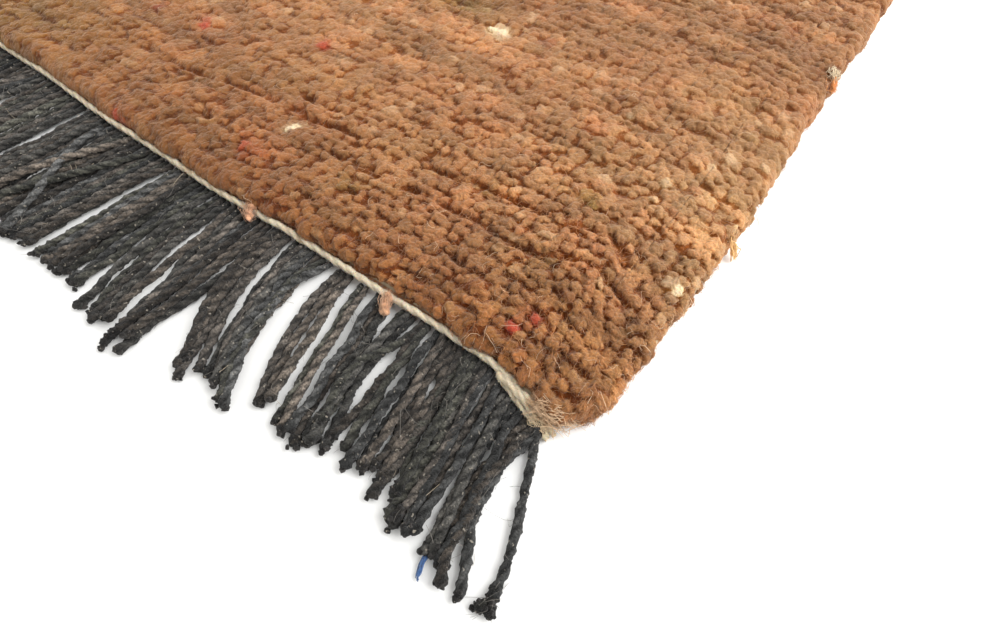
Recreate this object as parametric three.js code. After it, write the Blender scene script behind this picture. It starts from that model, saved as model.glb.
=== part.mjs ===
// A hand-knotted wool rug lying flat: the knotted body, a cream weft cord along each end
// and a fringe of grey warp ends beyond each cord.
// Millimetres. +X runs across the rug, +Y along it, +Z up, and z = 0 is its flat underside.
// The half with +X and -Y at its corner is the drawn one. The other half is the same outline turned
// half a turn about Z, so the rug's middle is the origin.

import * as THREE from 'three';

// Driving dimensions
const KNOT_PITCH = 4;
const BODY_WIDTH = 600;
const BODY_LENGTH = 790;
const BODY_THICKNESS = 12;
const CORD_WIDTH = 3.2;
const CORD_HEIGHT = 4;
const CORD_LIFT = 0.8;
const FRINGE_THICKNESS = 5;
const FRINGE_ROOT = 5;
const GAP = 0.5;

const HALF_WIDTH = BODY_WIDTH / 2;
const HALF_LENGTH = BODY_LENGTH / 2;
const OUTLINE_STEP = 3 * KNOT_PITCH;

// Slow waves of the woven edges: how far each swings out and in, its length and where it starts
const SIDE_WAVES = [
  { swing: 1.3, length: 340, start: -60 },
  { swing: 0.6, length: 137, start: -335 },
];
const END_WAVES = [
  { swing: 1.1, length: 230, start: 168 },
  { swing: 0.3, length: 71, start: 20 },
];

// The drawn corner: the end weave slips outwards on its last stretch, and the corner is worn round
const CORNER = { slip: 6.5, slipRun: 34, roundAlongSide: 26, roundAlongEnd: 13, arcSteps: 8 };

// The body's wall from the underside up: how far each level lies inside the widest one
const WALL_LEVELS = [
  { height: 0, inset: 3 },
  { height: 1.2, inset: 1.2 },
  { height: 4.8, inset: 0.6 },
  { height: 7.5, inset: 0 },
  { height: 10.2, inset: 1.2 },
  { height: BODY_THICKNESS, inset: 4.2 },
];

// Locks of the fringe, from the middle of the end to its right corner. Each is as wide as its two root
// places, leans to its two tip places and reaches its length beyond the cord.
const LOCKS = [
  { rootLeft: 1, rootRight: 17, tipLeft: 2, tipRight: 16.5, length: 52 },
  { rootLeft: 18, rootRight: 33, tipLeft: 19, tipRight: 33, length: 54 },
  { rootLeft: 34, rootRight: 47, tipLeft: 35.5, tipRight: 47, length: 50 },
  { rootLeft: 48, rootRight: 62, tipLeft: 49.5, tipRight: 62, length: 54 },
  { rootLeft: 63, rootRight: 74, tipLeft: 64.5, tipRight: 75, length: 52 },
  { rootLeft: 75, rootRight: 96, tipLeft: 77, tipRight: 97, length: 55 },
  { rootLeft: 97, rootRight: 116.5, tipLeft: 99, tipRight: 114, length: 53 },
  { rootLeft: 118, rootRight: 139, tipLeft: 117, tipRight: 141, length: 53 },
  { rootLeft: 140.5, rootRight: 152.5, tipLeft: 143.5, tipRight: 154.5, length: 56 },
  { rootLeft: 154, rootRight: 171, tipLeft: 157, tipRight: 175.5, length: 57 },
  { rootLeft: 172.5, rootRight: 180, tipLeft: 180, tipRight: 193.5, length: 53 },
  { rootLeft: 182, rootRight: 200, tipLeft: 196.5, tipRight: 213, length: 50 },
  { rootLeft: 203.5, rootRight: 213, tipLeft: 216.5, tipRight: 224, length: 46 },
  { rootLeft: 214.5, rootRight: 228.5, tipLeft: 226.5, tipRight: 237, length: 48 },
  { rootLeft: 230, rootRight: 236.5, tipLeft: 239, tipRight: 246, length: 48 },
  { rootLeft: 238, rootRight: 243.5, tipLeft: 248, tipRight: 253.5, length: 46 },
  { rootLeft: 245, rootRight: 252, tipLeft: 255.5, tipRight: 260.5, length: 44 },
  { rootLeft: 253.5, rootRight: 264, tipLeft: 262.5, tipRight: 276, length: 48 },
  { rootLeft: 265.5, rootRight: 282, tipLeft: 278, tipRight: 295.5, length: 54 },
  { rootLeft: 284.5, rootRight: 288.5, tipLeft: 301, tipRight: 305, length: 50 },
];
const LOCK_TABLE_SPAN = 291;
const LOCK_TIP_ROUNDING = 0.35;

const FINISH = {
  pile: { color: 0xa06a45, roughness: 0.95, metalness: 0 },
  weft: { color: 0xd9c49a, roughness: 0.9, metalness: 0 },
  warp: { color: 0x45423f, roughness: 0.92, metalness: 0 },
};

function waveAt(waves, place) {
  return waves.reduce(
    (sum, wave) => sum + wave.swing * Math.sin((2 * Math.PI * (place - wave.start)) / wave.length),
    0,
  );
}

// The near end's edge, at x, and the right side's edge, at y
function endEdge(x) {
  const along = THREE.MathUtils.clamp((x - HALF_WIDTH + CORNER.slipRun) / CORNER.slipRun, 0, 1);
  return -HALF_LENGTH + waveAt(END_WAVES, x) - CORNER.slip * THREE.MathUtils.smoothstep(along, 0, 0.8);
}

function sideEdge(y) {
  return HALF_WIDTH + waveAt(SIDE_WAVES, y);
}

// Places from one number to another, about a step apart, without the last
function spread(from, to, step) {
  const count = Math.max(1, Math.round(Math.abs(to - from) / step));
  return Array.from({ length: count }, (_, i) => from + ((to - from) * i) / count);
}

function halfOutline() {
  const endStop = HALF_WIDTH - CORNER.roundAlongEnd;
  const arcY = endEdge(endStop) + CORNER.roundAlongSide;
  const arcX = sideEdge(arcY) - CORNER.roundAlongEnd;
  const firstX = -sideEdge(arcY) + CORNER.roundAlongEnd;
  const points = spread(firstX, arcX, OUTLINE_STEP).map((x) => new THREE.Vector2(x, endEdge(x)));
  for (let i = 0; i < CORNER.arcSteps; i++) {
    const angle = (Math.PI / 2) * (i / CORNER.arcSteps - 1);
    points.push(
      new THREE.Vector2(
        arcX + CORNER.roundAlongEnd * Math.cos(angle),
        arcY + CORNER.roundAlongSide * Math.sin(angle),
      ),
    );
  }
  const lastY = -endEdge(firstX) - CORNER.roundAlongEnd;
  for (const y of spread(arcY, lastY, OUTLINE_STEP)) points.push(new THREE.Vector2(sideEdge(y), y));
  return points;
}

function bodyOutline() {
  const half = halfOutline();
  return half.concat(half.map((p) => p.clone().negate()));
}

function insetOutline(outline, inset) {
  return outline.map((point, i) => {
    const before = outline[(i + outline.length - 1) % outline.length];
    const after = outline[(i + 1) % outline.length];
    const along = after.clone().sub(before).normalize();
    return new THREE.Vector2(point.x - along.y * inset, point.y + along.x * inset);
  });
}

// A closed solid from rings of points, all of one length, joined in order
function loftRings(rings, capFaces) {
  const size = rings[0].length;
  const index = [];
  for (let r = 0; r < rings.length - 1; r++) {
    for (let i = 0; i < size; i++) {
      const here = r * size + i;
      const next = r * size + ((i + 1) % size);
      index.push(here, next, next + size, here, next + size, here + size);
    }
  }
  const lastRing = (rings.length - 1) * size;
  for (const [a, b, c] of capFaces) {
    index.push(c, b, a, lastRing + a, lastRing + b, lastRing + c);
  }
  const geometry = new THREE.BufferGeometry().setFromPoints(rings.flat());
  geometry.setIndex(index);
  geometry.computeVertexNormals();
  return geometry;
}

function bodyGeometry() {
  const outline = bodyOutline();
  const rings = WALL_LEVELS.map(({ height, inset }) =>
    insetOutline(outline, inset).map((p) => new THREE.Vector3(p.x, p.y, height)),
  );
  return loftRings(rings, THREE.ShapeUtils.triangulateShape(outline, []));
}

// The weft cord: an eight-sided section carried along the end's edge
function cordGeometry() {
  const sides = 8;
  const reach = HALF_WIDTH - CORNER.roundAlongEnd / 2;
  const places = [...spread(-reach, reach, KNOT_PITCH * 2), reach];
  const rings = places.map((x) => {
    const y = endEdge(x) - GAP - CORD_WIDTH / 2;
    return Array.from({ length: sides }, (_, i) => {
      const angle = (2 * Math.PI * (i + 0.5)) / sides;
      return new THREE.Vector3(
        x,
        y + (CORD_WIDTH / 2) * Math.cos(angle),
        CORD_LIFT + (CORD_HEIGHT / 2) * (1 + Math.sin(angle)),
      );
    });
  });
  const fan = Array.from({ length: sides - 2 }, (_, i) => [0, i + 1, i + 2]);
  return loftRings(rings, fan);
}

function fringeLine(x) {
  return endEdge(x) - CORD_WIDTH - 2 * GAP;
}

// One lock's outline, from its left root round its tip to its right root
function lockOutline(lock, shift) {
  const rootY = (x) => fringeLine(x + shift) - FRINGE_ROOT;
  const middle = (lock.tipLeft + lock.tipRight) / 2;
  const halfTip = (lock.tipRight - lock.tipLeft) / 2;
  const tipY = fringeLine((lock.rootLeft + lock.rootRight) / 2 + shift) - lock.length;
  const shoulder = Math.min(halfTip, 4);
  const points = [new THREE.Vector2(lock.rootLeft, rootY(lock.rootLeft))];
  points.push(new THREE.Vector2(lock.tipLeft, tipY + shoulder));
  for (const part of [-0.7, 0, 0.7]) {
    const drop = shoulder * LOCK_TIP_ROUNDING * part * part;
    points.push(new THREE.Vector2(middle + part * halfTip, tipY + drop));
  }
  points.push(new THREE.Vector2(lock.tipRight, tipY + shoulder));
  points.push(new THREE.Vector2(lock.rootRight, rootY(lock.rootRight)));
  return points.map((p) => p.setX(p.x + shift));
}

function fringeGeometry() {
  const outline = [];
  for (const shift of [-LOCK_TABLE_SPAN, 0]) {
    for (const lock of LOCKS) outline.push(...lockOutline(lock, shift));
  }
  const right = outline.at(-1).x;
  const left = outline[0].x;
  for (const x of [...spread(right, left, OUTLINE_STEP), left]) {
    outline.push(new THREE.Vector2(x, fringeLine(x)));
  }
  return new THREE.ExtrudeGeometry(new THREE.Shape(outline), {
    depth: FRINGE_THICKNESS,
    bevelEnabled: false,
    curveSegments: 1,
  });
}

function addPiece(group, name, geometry, finish, turned = false) {
  const mesh = new THREE.Mesh(geometry, new THREE.MeshStandardMaterial(finish));
  mesh.name = name;
  if (turned) mesh.rotation.z = Math.PI;
  group.add(mesh);
}

const rug = new THREE.Group();
addPiece(rug, 'rug_body', bodyGeometry(), FINISH.pile);
addPiece(rug, 'weft_cord_front', cordGeometry(), FINISH.weft);
addPiece(rug, 'weft_cord_back', cordGeometry(), FINISH.weft, true);
addPiece(rug, 'fringe_front', fringeGeometry(), FINISH.warp);
addPiece(rug, 'fringe_back', fringeGeometry(), FINISH.warp, true);

export default rug;
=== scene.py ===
"""The looks of a hand-knotted wool rug: a field of cut pile on a woven slab, a twined cream cord
along each end and a fringe of twisted charcoal warp ends beyond it.

Metres, in the CAD frame: +X across the rug, +Y along it, +Z up, z = 0 on the floor. The half with
+X and -Y at its corner is the drawn one, and the other half is the same turned half a turn about Z.
"""

import math

import bpy
import numpy as np
from mathutils import Euler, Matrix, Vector, noise


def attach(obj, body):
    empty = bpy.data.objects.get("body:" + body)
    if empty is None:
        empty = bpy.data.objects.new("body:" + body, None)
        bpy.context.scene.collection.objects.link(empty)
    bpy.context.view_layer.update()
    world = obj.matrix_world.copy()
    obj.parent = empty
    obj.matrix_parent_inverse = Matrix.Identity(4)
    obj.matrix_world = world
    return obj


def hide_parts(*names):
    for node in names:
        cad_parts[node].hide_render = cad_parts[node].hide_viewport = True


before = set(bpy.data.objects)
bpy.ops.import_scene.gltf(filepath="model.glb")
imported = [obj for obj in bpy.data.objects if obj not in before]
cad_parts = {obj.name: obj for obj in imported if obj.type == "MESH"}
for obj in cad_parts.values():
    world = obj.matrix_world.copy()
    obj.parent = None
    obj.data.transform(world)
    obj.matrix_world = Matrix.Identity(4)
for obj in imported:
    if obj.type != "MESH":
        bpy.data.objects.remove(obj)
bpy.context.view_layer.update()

MM = 0.001
TURN = 2 * math.pi

# The rug's sizes
KNOT_PITCH = 4.0 * MM
BODY_WIDTH = 600 * MM
BODY_LENGTH = 790 * MM
SLAB_HEIGHT = 3.5 * MM
HALF_WIDTH = BODY_WIDTH / 2
HALF_LENGTH = BODY_LENGTH / 2
CORD_WIDTH = 3.2 * MM
CORD_GAP = 0.5 * MM
CORD_OFFSET = 1.1 * MM

# Slow waves of the woven edges: swing, length and starting place
SIDE_WAVES = ((1.3 * MM, 340 * MM, -60 * MM), (0.6 * MM, 137 * MM, -335 * MM))
END_WAVES = ((1.1 * MM, 230 * MM, 168 * MM), (0.3 * MM, 71 * MM, 20 * MM))
CORNER_SLIP = 6.5 * MM
CORNER_SLIP_RUN = 34 * MM
CORNER_SLIP_DONE = 0.8
CORNER_ALONG_SIDE = 26 * MM
CORNER_ALONG_END = 13 * MM

# The photo's camera: its picture is 1000 pixels wide, and the lens is 600 of them long
PICTURE = (1000, 625)
LENS_PIXELS = 600
CAMERA_PLACE = Vector((317.5, -463.5, 154.18)) * MM
CAMERA_DIP = math.radians(55.48)
CAMERA_TURN = math.radians(36.5)
CAMERA_ROTATION = Euler((math.pi / 2 - CAMERA_DIP, 0, CAMERA_TURN))
SENSOR_WIDTH = 36

# Locks of the fringe, in millimetres from the middle of the end: where the left and right side of each lie
# under the cord, half way down and at the tips, how far it hangs beyond the cord, and its number of strands
LOCKS = (
    (0, 14, -2, 11, -5, 7, 51, 5),
    (16, 31, 14, 28, 10, 24, 53, 5),
    (32, 46.5, 31, 45, 26, 40, 50, 5),
    (48.5, 62.5, 48, 61, 42, 56, 53, 5),
    (64.5, 79, 64.5, 77, 58, 74, 51, 6),
    (80, 97, 79, 94, 74, 90, 53, 6),
    (98, 119.5, 97, 116, 93, 112, 52, 8),
    (120, 141, 119, 140, 115, 141.5, 51, 8),
    (141, 151.5, 143, 153, 147, 160, 55, 4),
    (151.5, 175, 157.5, 175, 161.5, 174, 55, 8),
    (174.5, 181, 177.5, 186, 188.5, 197.5, 51, 4),
    (182, 201, 189, 200.5, 199, 214, 48, 7),
    (202.5, 210, 207, 214.5, 218.5, 224, 45, 3),
    (211.5, 217, 219.5, 224, 226.5, 231, 46, 2),
    (219.5, 226.5, 227.2, 231, 232, 238.5, 46, 3),
    (230, 236.5, 233.2, 237.3, 239, 244, 46, 3),
    (237, 242, 240.2, 245.5, 243.5, 249.5, 44, 2),
    (244, 247.5, 247.3, 252.5, 250, 257, 44, 3),
    (247, 258, 252, 264.5, 257, 270, 43, 6),
    (258, 270.5, 264, 275.5, 269, 279, 47, 6),
    (270.5, 289.5, 276, 286, 280, 295.5, 44.5, 7),
)
LOCK_TABLE_SPAN = 287

SEED = 20
TINY = 1e-12

rng = np.random.default_rng(SEED)


# Sums that several parts share


def wave(waves, place):
    return sum(swing * np.sin(TURN * (place - start) / length) for swing, length, start in waves)


def smooth(value, low, high):
    part = np.clip((value - low) / (high - low), 0, 1)
    return part * part * (3 - 2 * part)


def steady(x, y, level, scale_x, scale_y):
    """Smooth noise, about -0.7 to 0.7, at each place."""
    places = zip((np.ravel(x) * scale_x).tolist(), (np.ravel(y) * scale_y).tolist())
    return np.array([noise.noise(Vector((px, py, level))) for px, py in places]).reshape(np.shape(x))


def unit(ways):
    return ways / np.linalg.norm(ways, axis=-1, keepdims=True)


def factors(spread, shape):
    """Random factors about 1."""
    return np.exp(rng.normal(0, spread, shape))


def bend_through(t, first, middle, last):
    """A bend from the first place through the middle one to the last, t of the way along it."""
    return (1 - t) * (1 - 2 * t) * first + 4 * t * (1 - t) * middle + t * (2 * t - 1) * last


# Curves of the woven edges


def end_edge(x):
    slip = smooth((x - HALF_WIDTH + CORNER_SLIP_RUN) / CORNER_SLIP_RUN, 0, CORNER_SLIP_DONE)
    return -HALF_LENGTH + wave(END_WAVES, x) - CORNER_SLIP * slip


def side_edge(y):
    return HALF_WIDTH + wave(SIDE_WAVES, y)


def cord_line(x):
    return end_edge(x) - CORD_GAP - CORD_OFFSET


def fringe_line(x):
    return end_edge(x) - CORD_WIDTH - 2 * CORD_GAP


def on_rug(across, along):
    """Where a place lies that is given as parts, from -1 to 1, of the rug's half width and half length."""
    y = along * HALF_LENGTH
    right = side_edge(y)
    left = -side_edge(-y)
    x = (left + right) / 2 + across * (right - left) / 2
    front = end_edge(x)
    back = -end_edge(-x)
    return x, (front + back) / 2 + along * (back - front) / 2


# Node trees, written as expressions


class Wire:
    """An output socket. Arithmetic on it adds Math nodes."""

    def __init__(self, graph, socket):
        self.graph = graph
        self.socket = socket

    def math(self, operation, *others):
        inputs = dict(enumerate((self, *others)))
        return self.graph.node("ShaderNodeMath", {"operation": operation}, inputs)

    def __add__(self, other):
        return self.math("ADD", other)

    def __mul__(self, other):
        return self.math("MULTIPLY", other)

    def __sub__(self, other):
        return self.math("SUBTRACT", other)

    def __rsub__(self, other):
        return self * -1 + other

    def __pow__(self, other):
        return self.math("POWER", other)

    def __gt__(self, other):
        return self.math("GREATER_THAN", other)

    __radd__ = __add__
    __rmul__ = __mul__


# How far and how closely places are pushed about, so that patterns on them come out curved
BEND_REACH = 4 * MM
BEND_SCALE = 260


class Graph:
    """A node tree. One method adds any node, and returns the output that is asked for, or else its first."""

    def __init__(self, tree):
        self.tree = tree

    def node(self, kind, settings=None, inputs=None, output=0):
        made = self.tree.nodes.new(kind)
        for name, value in (settings or {}).items():
            if name == "stops":
                self.set_stops(made.color_ramp, value)
            else:
                setattr(made, name, value)
        for name, value in (inputs or {}).items():
            self.feed(made.inputs[name], value)
        if output is None:
            return made
        return Wire(self, made.outputs[output])

    def feed(self, socket, value):
        if isinstance(value, Wire):
            self.tree.links.new(value.socket, socket)
        else:
            socket.default_value = value

    @staticmethod
    def set_stops(ramp, stops):
        while len(ramp.elements) < len(stops):
            ramp.elements.new(1)
        for element, (place, colour) in zip(ramp.elements, stops):
            element.position = place
            element.color = (*colour, 1)

    def vector(self, operation, *parts):
        return self.node("ShaderNodeVectorMath", {"operation": operation}, dict(enumerate(parts)))

    def scaled(self, vector, amount):
        return self.node("ShaderNodeVectorMath", {"operation": "SCALE"}, {0: vector, "Scale": amount})

    def axis(self, vector, number):
        return self.node("ShaderNodeSeparateXYZ", None, {0: vector}, number)

    def bent(self, place):
        push = self.noise(place, BEND_SCALE, 2.0, output=1)
        return self.vector("ADD", place, self.scaled(push, BEND_REACH))

    def mix(self, part, first, second, blend="MIX"):
        settings = {"data_type": "RGBA", "blend_type": blend, "clamp_factor": True}
        colours = [c if isinstance(c, Wire) else (*c, 1) for c in (first, second)]
        return self.node("ShaderNodeMix", settings, {0: part, 6: colours[0], 7: colours[1]}, output=2)

    def noise(self, place, scale, detail=2.0, roughness=0.5, output=0):
        inputs = {"Vector": place, "Scale": scale, "Detail": detail, "Roughness": roughness}
        return self.node("ShaderNodeTexNoise", None, inputs, output)

    def between(self, value, low, high, to_low=0.0, to_high=1.0):
        inputs = {"Value": value, "From Min": low, "From Max": high, "To Min": to_low, "To Max": to_high}
        return self.node("ShaderNodeMapRange", {"interpolation_type": "SMOOTHSTEP"}, inputs)


class Finish(Graph):
    """A material with one Principled surface."""

    def __init__(self, name):
        self.material = bpy.data.materials.new(name)
        self.material.use_nodes = True
        super().__init__(self.material.node_tree)
        self.tree.nodes.clear()

    def attribute(self, name, output="Vector"):
        return self.node("ShaderNodeAttribute", {"attribute_name": name}, None, output)

    def object_place(self):
        return self.node("ShaderNodeTexCoord", None, None, "Object")

    def channel(self, colour, number):
        return self.node("ShaderNodeSeparateColor", None, {0: colour}, number)

    def shaded(self, colour, shade):
        """The colour, made lighter or darker by a value."""
        grey = self.node("ShaderNodeCombineColor", None, {0: shade, 1: shade, 2: shade})
        return self.mix(1.0, colour, grey, "MULTIPLY")

    def surface(self, colour, relief, depth, roughness=0.95, sheen=0.25, wool=False):
        bump = self.node("ShaderNodeBump", None, {"Height": relief, "Distance": depth, "Strength": 1.0})
        inputs = {
            "Base Color": colour if isinstance(colour, Wire) else (*colour, 1),
            "Roughness": roughness,
            "Normal": bump,
            "Sheen Weight": sheen,
            "Sheen Roughness": 0.5,
            "Specular IOR Level": 0.2,
        }
        if wool:
            inputs["Sheen Tint"] = (1.0, 0.78, 0.6, 1)
            inputs["Subsurface Weight"] = 0.5
            inputs["Subsurface Radius"] = (1.0, 0.6, 0.35)
            inputs["Subsurface Scale"] = 0.0009
        surface = self.node("ShaderNodeBsdfPrincipled", None, inputs)
        self.node("ShaderNodeOutputMaterial", None, {"Surface": surface}, output=None)
        return self.material


class Growth(Graph):
    """A Geometry Nodes tree with named inputs. It ends in Realize Instances and Set Material."""

    SOCKETS = {float: "NodeSocketFloat", int: "NodeSocketInt"}

    def __init__(self, name, **sizes):
        super().__init__(bpy.data.node_groups.new(name, "GeometryNodeTree"))
        self.tree.interface.new_socket("Geometry", in_out="INPUT", socket_type="NodeSocketGeometry")
        self.tree.interface.new_socket("Geometry", in_out="OUTPUT", socket_type="NodeSocketGeometry")
        for size, value in sizes.items():
            self.tree.interface.new_socket(size, in_out="INPUT", socket_type=self.SOCKETS[type(value)])
        self.tree.interface.new_socket("material", in_out="INPUT", socket_type="NodeSocketMaterial")
        self.sizes = sizes
        self.group = self.tree.nodes.new("NodeGroupInput")

    def input(self, name):
        return Wire(self, self.group.outputs[name])

    def attribute(self, name, kind="FLOAT"):
        return self.node("GeometryNodeInputNamedAttribute", {"data_type": kind}, {"Name": name})

    def position(self):
        return self.node("GeometryNodeInputPosition")

    def store(self, geometry, name, value, kind="FLOAT_VECTOR", domain="POINT"):
        settings = {"data_type": kind, "domain": domain}
        inputs = {"Geometry": geometry, "Name": name, "Value": value}
        return self.node("GeometryNodeStoreNamedAttribute", settings, inputs)

    def roughen(self, geometry, scale, amount, detail=1.0):
        """Shifts every point by noise that is as large as amount."""
        shift = self.noise(self.position(), scale, detail, output=1)
        centred = self.vector("SUBTRACT", shift, (0.5, 0.5, 0.5))
        inputs = {"Geometry": geometry, "Offset": self.scaled(centred, amount * 2)}
        return self.node("GeometryNodeSetPosition", None, inputs)

    def finish(self, geometry):
        whole = self.node("GeometryNodeRealizeInstances", None, {"Geometry": geometry})
        soft = self.node("GeometryNodeSetShadeSmooth", None, {0: whole})
        inputs = {"Geometry": soft, "Material": self.input("material")}
        made = self.node("GeometryNodeSetMaterial", None, inputs)
        out = self.tree.nodes.new("NodeGroupOutput")
        self.feed(out.inputs[0], made)

    def grow(self, name, seeds, material, **changed):
        """A plain mesh object, grown from the seed mesh."""
        host = bpy.data.objects.new(name, seeds)
        bpy.context.scene.collection.objects.link(host)
        modifier = host.modifiers.new("growth", "NODES")
        modifier.node_group = self.tree
        values = {**self.sizes, **changed, "material": material}
        for item in self.tree.interface.items_tree:
            if item.in_out == "INPUT" and item.name in values:
                modifier[item.identifier] = values[item.name]
        depsgraph = bpy.context.evaluated_depsgraph_get()
        mesh = bpy.data.meshes.new_from_object(host.evaluated_get(depsgraph))
        host.modifiers.clear()
        host.data = mesh
        mesh.name = name
        bpy.data.meshes.remove(seeds)
        return host


ATTRIBUTE_KINDS = {1: ("FLOAT", "value"), 3: ("FLOAT_VECTOR", "vector"), 4: ("FLOAT_COLOR", "color")}


def seed_mesh(name, places, edges=(), faces=(), **attributes):
    """Points, chains or faces that carry values for a tree."""
    mesh = bpy.data.meshes.new(name)
    mesh.from_pydata(np.asarray(places).tolist(), list(edges), list(faces))
    for key, values in attributes.items():
        values = np.asarray(values, float)
        width = 1 if values.ndim == 1 else values.shape[1]
        kind, field = ATTRIBUTE_KINDS[width]
        mesh.attributes.new(key, kind, "POINT").data.foreach_set(field, values.ravel())
    return mesh


# The camera stands where the photo's did, so it decides which tufts and strands get the finest form


def make_camera():
    data = bpy.data.cameras.new("camera")
    data.sensor_fit = "HORIZONTAL"
    data.sensor_width = SENSOR_WIDTH
    data.lens = SENSOR_WIDTH * LENS_PIXELS / PICTURE[0]
    data.clip_start = 10 * MM
    camera = bpy.data.objects.new("camera", data)
    camera.location = CAMERA_PLACE
    camera.rotation_euler = CAMERA_ROTATION
    bpy.context.scene.collection.objects.link(camera)
    bpy.context.scene.camera = camera


def in_picture(places, margin):
    """Which places the photo shows, with a margin in pixels round it."""
    seen = (np.asarray(places) - np.array(CAMERA_PLACE)) @ np.array(CAMERA_ROTATION.to_matrix())
    depth = np.maximum(-seen[:, 2], TINY)
    across = np.abs(seen[:, 0] / depth) * LENS_PIXELS
    up = np.abs(seen[:, 1] / depth) * LENS_PIXELS
    ahead = seen[:, 2] < 0
    return ahead & (across < PICTURE[0] / 2 + margin) & (up < PICTURE[1] / 2 + margin)


# Colours, as they look in full light


def linear(red, green, blue):
    parts = np.array((red, green, blue)) / 255
    return np.where(parts <= 0.04045, parts / 12.92, ((parts + 0.055) / 1.055) ** 2.4)


TAN = linear(186, 138, 93)
TERRACOTTA = linear(186, 124, 84)
BROWN = linear(150, 104, 66)
SAND = linear(208, 168, 128)
OLIVE = linear(160, 134, 92)
RED = linear(170, 60, 44)
DARK_RED = linear(120, 52, 36)
CREAM = linear(238, 220, 184)
BLACK = linear(48, 38, 32)

# Odd knots among the rest, in millimetres of the CAD frame, with the reach of each
FLECKS = (
    (118.4, -317.0, 3.0, RED),
    (64.0, -336.5, 3.0, RED),
    (85.3, -395.2, 2.9, RED),
    (35.8, -340.4, 2.8, DARK_RED),
    (140.4, -381.4, 2.8, RED),
    (263.4, -385.5, 2.9, RED),
    (266.3, -379.0, 3.0, RED),
    (190.4, -259.6, 3.6, DARK_RED),
    (167.8, -266.6, 2.9, CREAM),
    (172.0, -264.8, 3.5, CREAM),
    (296.0, -345.9, 2.6, CREAM),
    (146.8, -362.4, 2.0, CREAM),
    (245.7, -281.6, 1.8, CREAM),
    (188.6, -374.5, 2.0, BLACK),
)

PILE_SHADE = 0.77
WOOL_BALANCE = (1.03, 0.975, 0.89)
DULL_BROWN = 0.7 * BROWN + 0.3 * OLIVE

# Noise that the wool's colour follows, as its level and its scales across and along the rug
STREAKS = (3, 9, 95)
PATCHES = (7, 24, 40)
CLOUDS = (11, 70, 110)

# How far the colour goes from tan to terracotta and to dull brown, and how much lighter or darker it gets
TERRACOTTA_SHARE = 0.4
TERRACOTTA_IN_PATCHES = 0.4
TERRACOTTA_CHANCE = 0.14
DULL_SHARE = 0.05
DULL_IN_STREAKS = 0.5
MOST_DULL = 0.25
TONE_CHANCE = 0.07
TONE_IN_STREAKS = 0.38
TONE_IN_CLOUDS = 0.4
FELTED_SHADE = (0.1, 0.115, 0.16)
FLECK_STRENGTH = 0.85

# Odd pale and dark knots: their share, how much of their own tint stays, and what is added to it
PALE_KNOTS = 0.03
PALE_KEPT = 0.45
PALE_ADDED = SAND * 0.5
DARK_KNOTS = 0.015
DARK_KEPT = 0.6
DARK_ADDED = BROWN * 0.3

# Broad patches where the wool is lighter or darker. Some are its own uneven dye, and some are painted
# light and shade: the wool is painted lighter on the right, towards the lamp, and darker on the left.
# Each has its place and reach across and along, in millimetres of the CAD frame, and how much red, green
# and blue are kept
DYE_AND_PAINTED_LIGHT_PATCHES = (
    (285, -300, 40, 50, (1.2, 1.43, 1.53)),
    (270, -225, 60, 60, (0.8, 0.79, 0.8)),
    (180, -190, 110, 60, (0.9, 0.89, 0.88)),
    (166, -277, 70, 45, (0.95, 0.97, 0.98)),
    (60, -375, 90, 45, (0.75, 0.69, 0.6)),
    (110, -368, 220, 34, (0.86, 0.84, 0.8)),
    (-10, -380, 45, 30, (0.78, 0.86, 0.7)),
    (190, -386, 60, 14, (0.9, 0.84, 0.76)),
    (150, -393, 110, 8, (0.74, 0.68, 0.56)),
    (262, -392, 40, 9, (0.78, 0.72, 0.6)),
    (274, -375, 34, 18, (1.1, 1.07, 0.94)),
    (142, -256, 18, 7, (0.42, 0.46, 0.3)),
    (144, -379, 9, 4, (1.2, 0.84, 0.66)),
    (237.6, -295, 7, 4, (1.12, 0.95, 0.95)),
    (222.6, -344.9, 3.5, 2.5, (0.6, 0.7, 0.4)),
    (255.7, -329, 3.5, 2.5, (0.6, 0.7, 0.4)),
    (184, -370.9, 3.5, 2.5, (0.6, 0.7, 0.4)),
    (257.4, -359, 3, 2.5, (0.5, 0.56, 0.4)),
)

# Long crevices between two rows and short ones, which are sunk into the pile and darkened with painted
# shade as well, as places in millimetres of the CAD frame
PARTINGS = (
    ((59, -362.2), (80, -362.7), (119.7, -354.8), (141.6, -354), (170.5, -351.3)),
    ((198.8, -350.4), (221.2, -344.9), (242.4, -343.7), (251.2, -343.7), (262.8, -339.7), (281.8, -341.9)),
    (
        (183.9, -365.1), (207.8, -360.8), (232.5, -359.6), (244.6, -361.3), (255, -358.4), (272.2, -350),
        (284.7, -353.3),
    ),
    ((81, -365.4), (86, -365.8)),
    ((70.5, -343.4), (77, -343.8)),
    ((168, -363), (186, -362.3)),
    ((136, -345.6), (156, -344.8)),
    ((111, -376), (116, -376.3)),
    ((268, -376.4), (273, -378)),
    ((232, -376), (238, -376.8)),
    ((187.5, -374.4), (189.8, -374.4)),
    ((242, -284.6), (246, -284.2)),
    ((256, -259), (260, -258.8)),
    ((262, -194), (266, -193.6)),
    ((269, -237.4), (273, -237)),
)
PARTING_WIDTH = 1.3 * MM
PARTING_DEPTH = 1.9 * MM
PARTING_SWAY = 1.3 * MM
PARTING_SWAYS = (31, 110, 20)
PARTING_FADES = (35, 110, 60)
PARTING_STRENGTH = (0.85, 1.3)
FAINTEST = 0.02
PARTED_FROM = (50 * MM, -180 * MM)


def blend(first, second, part):
    """From the first colour to the second, by a part for each knot."""
    part = part[:, None]
    return first * (1 - part) + second * part


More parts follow.
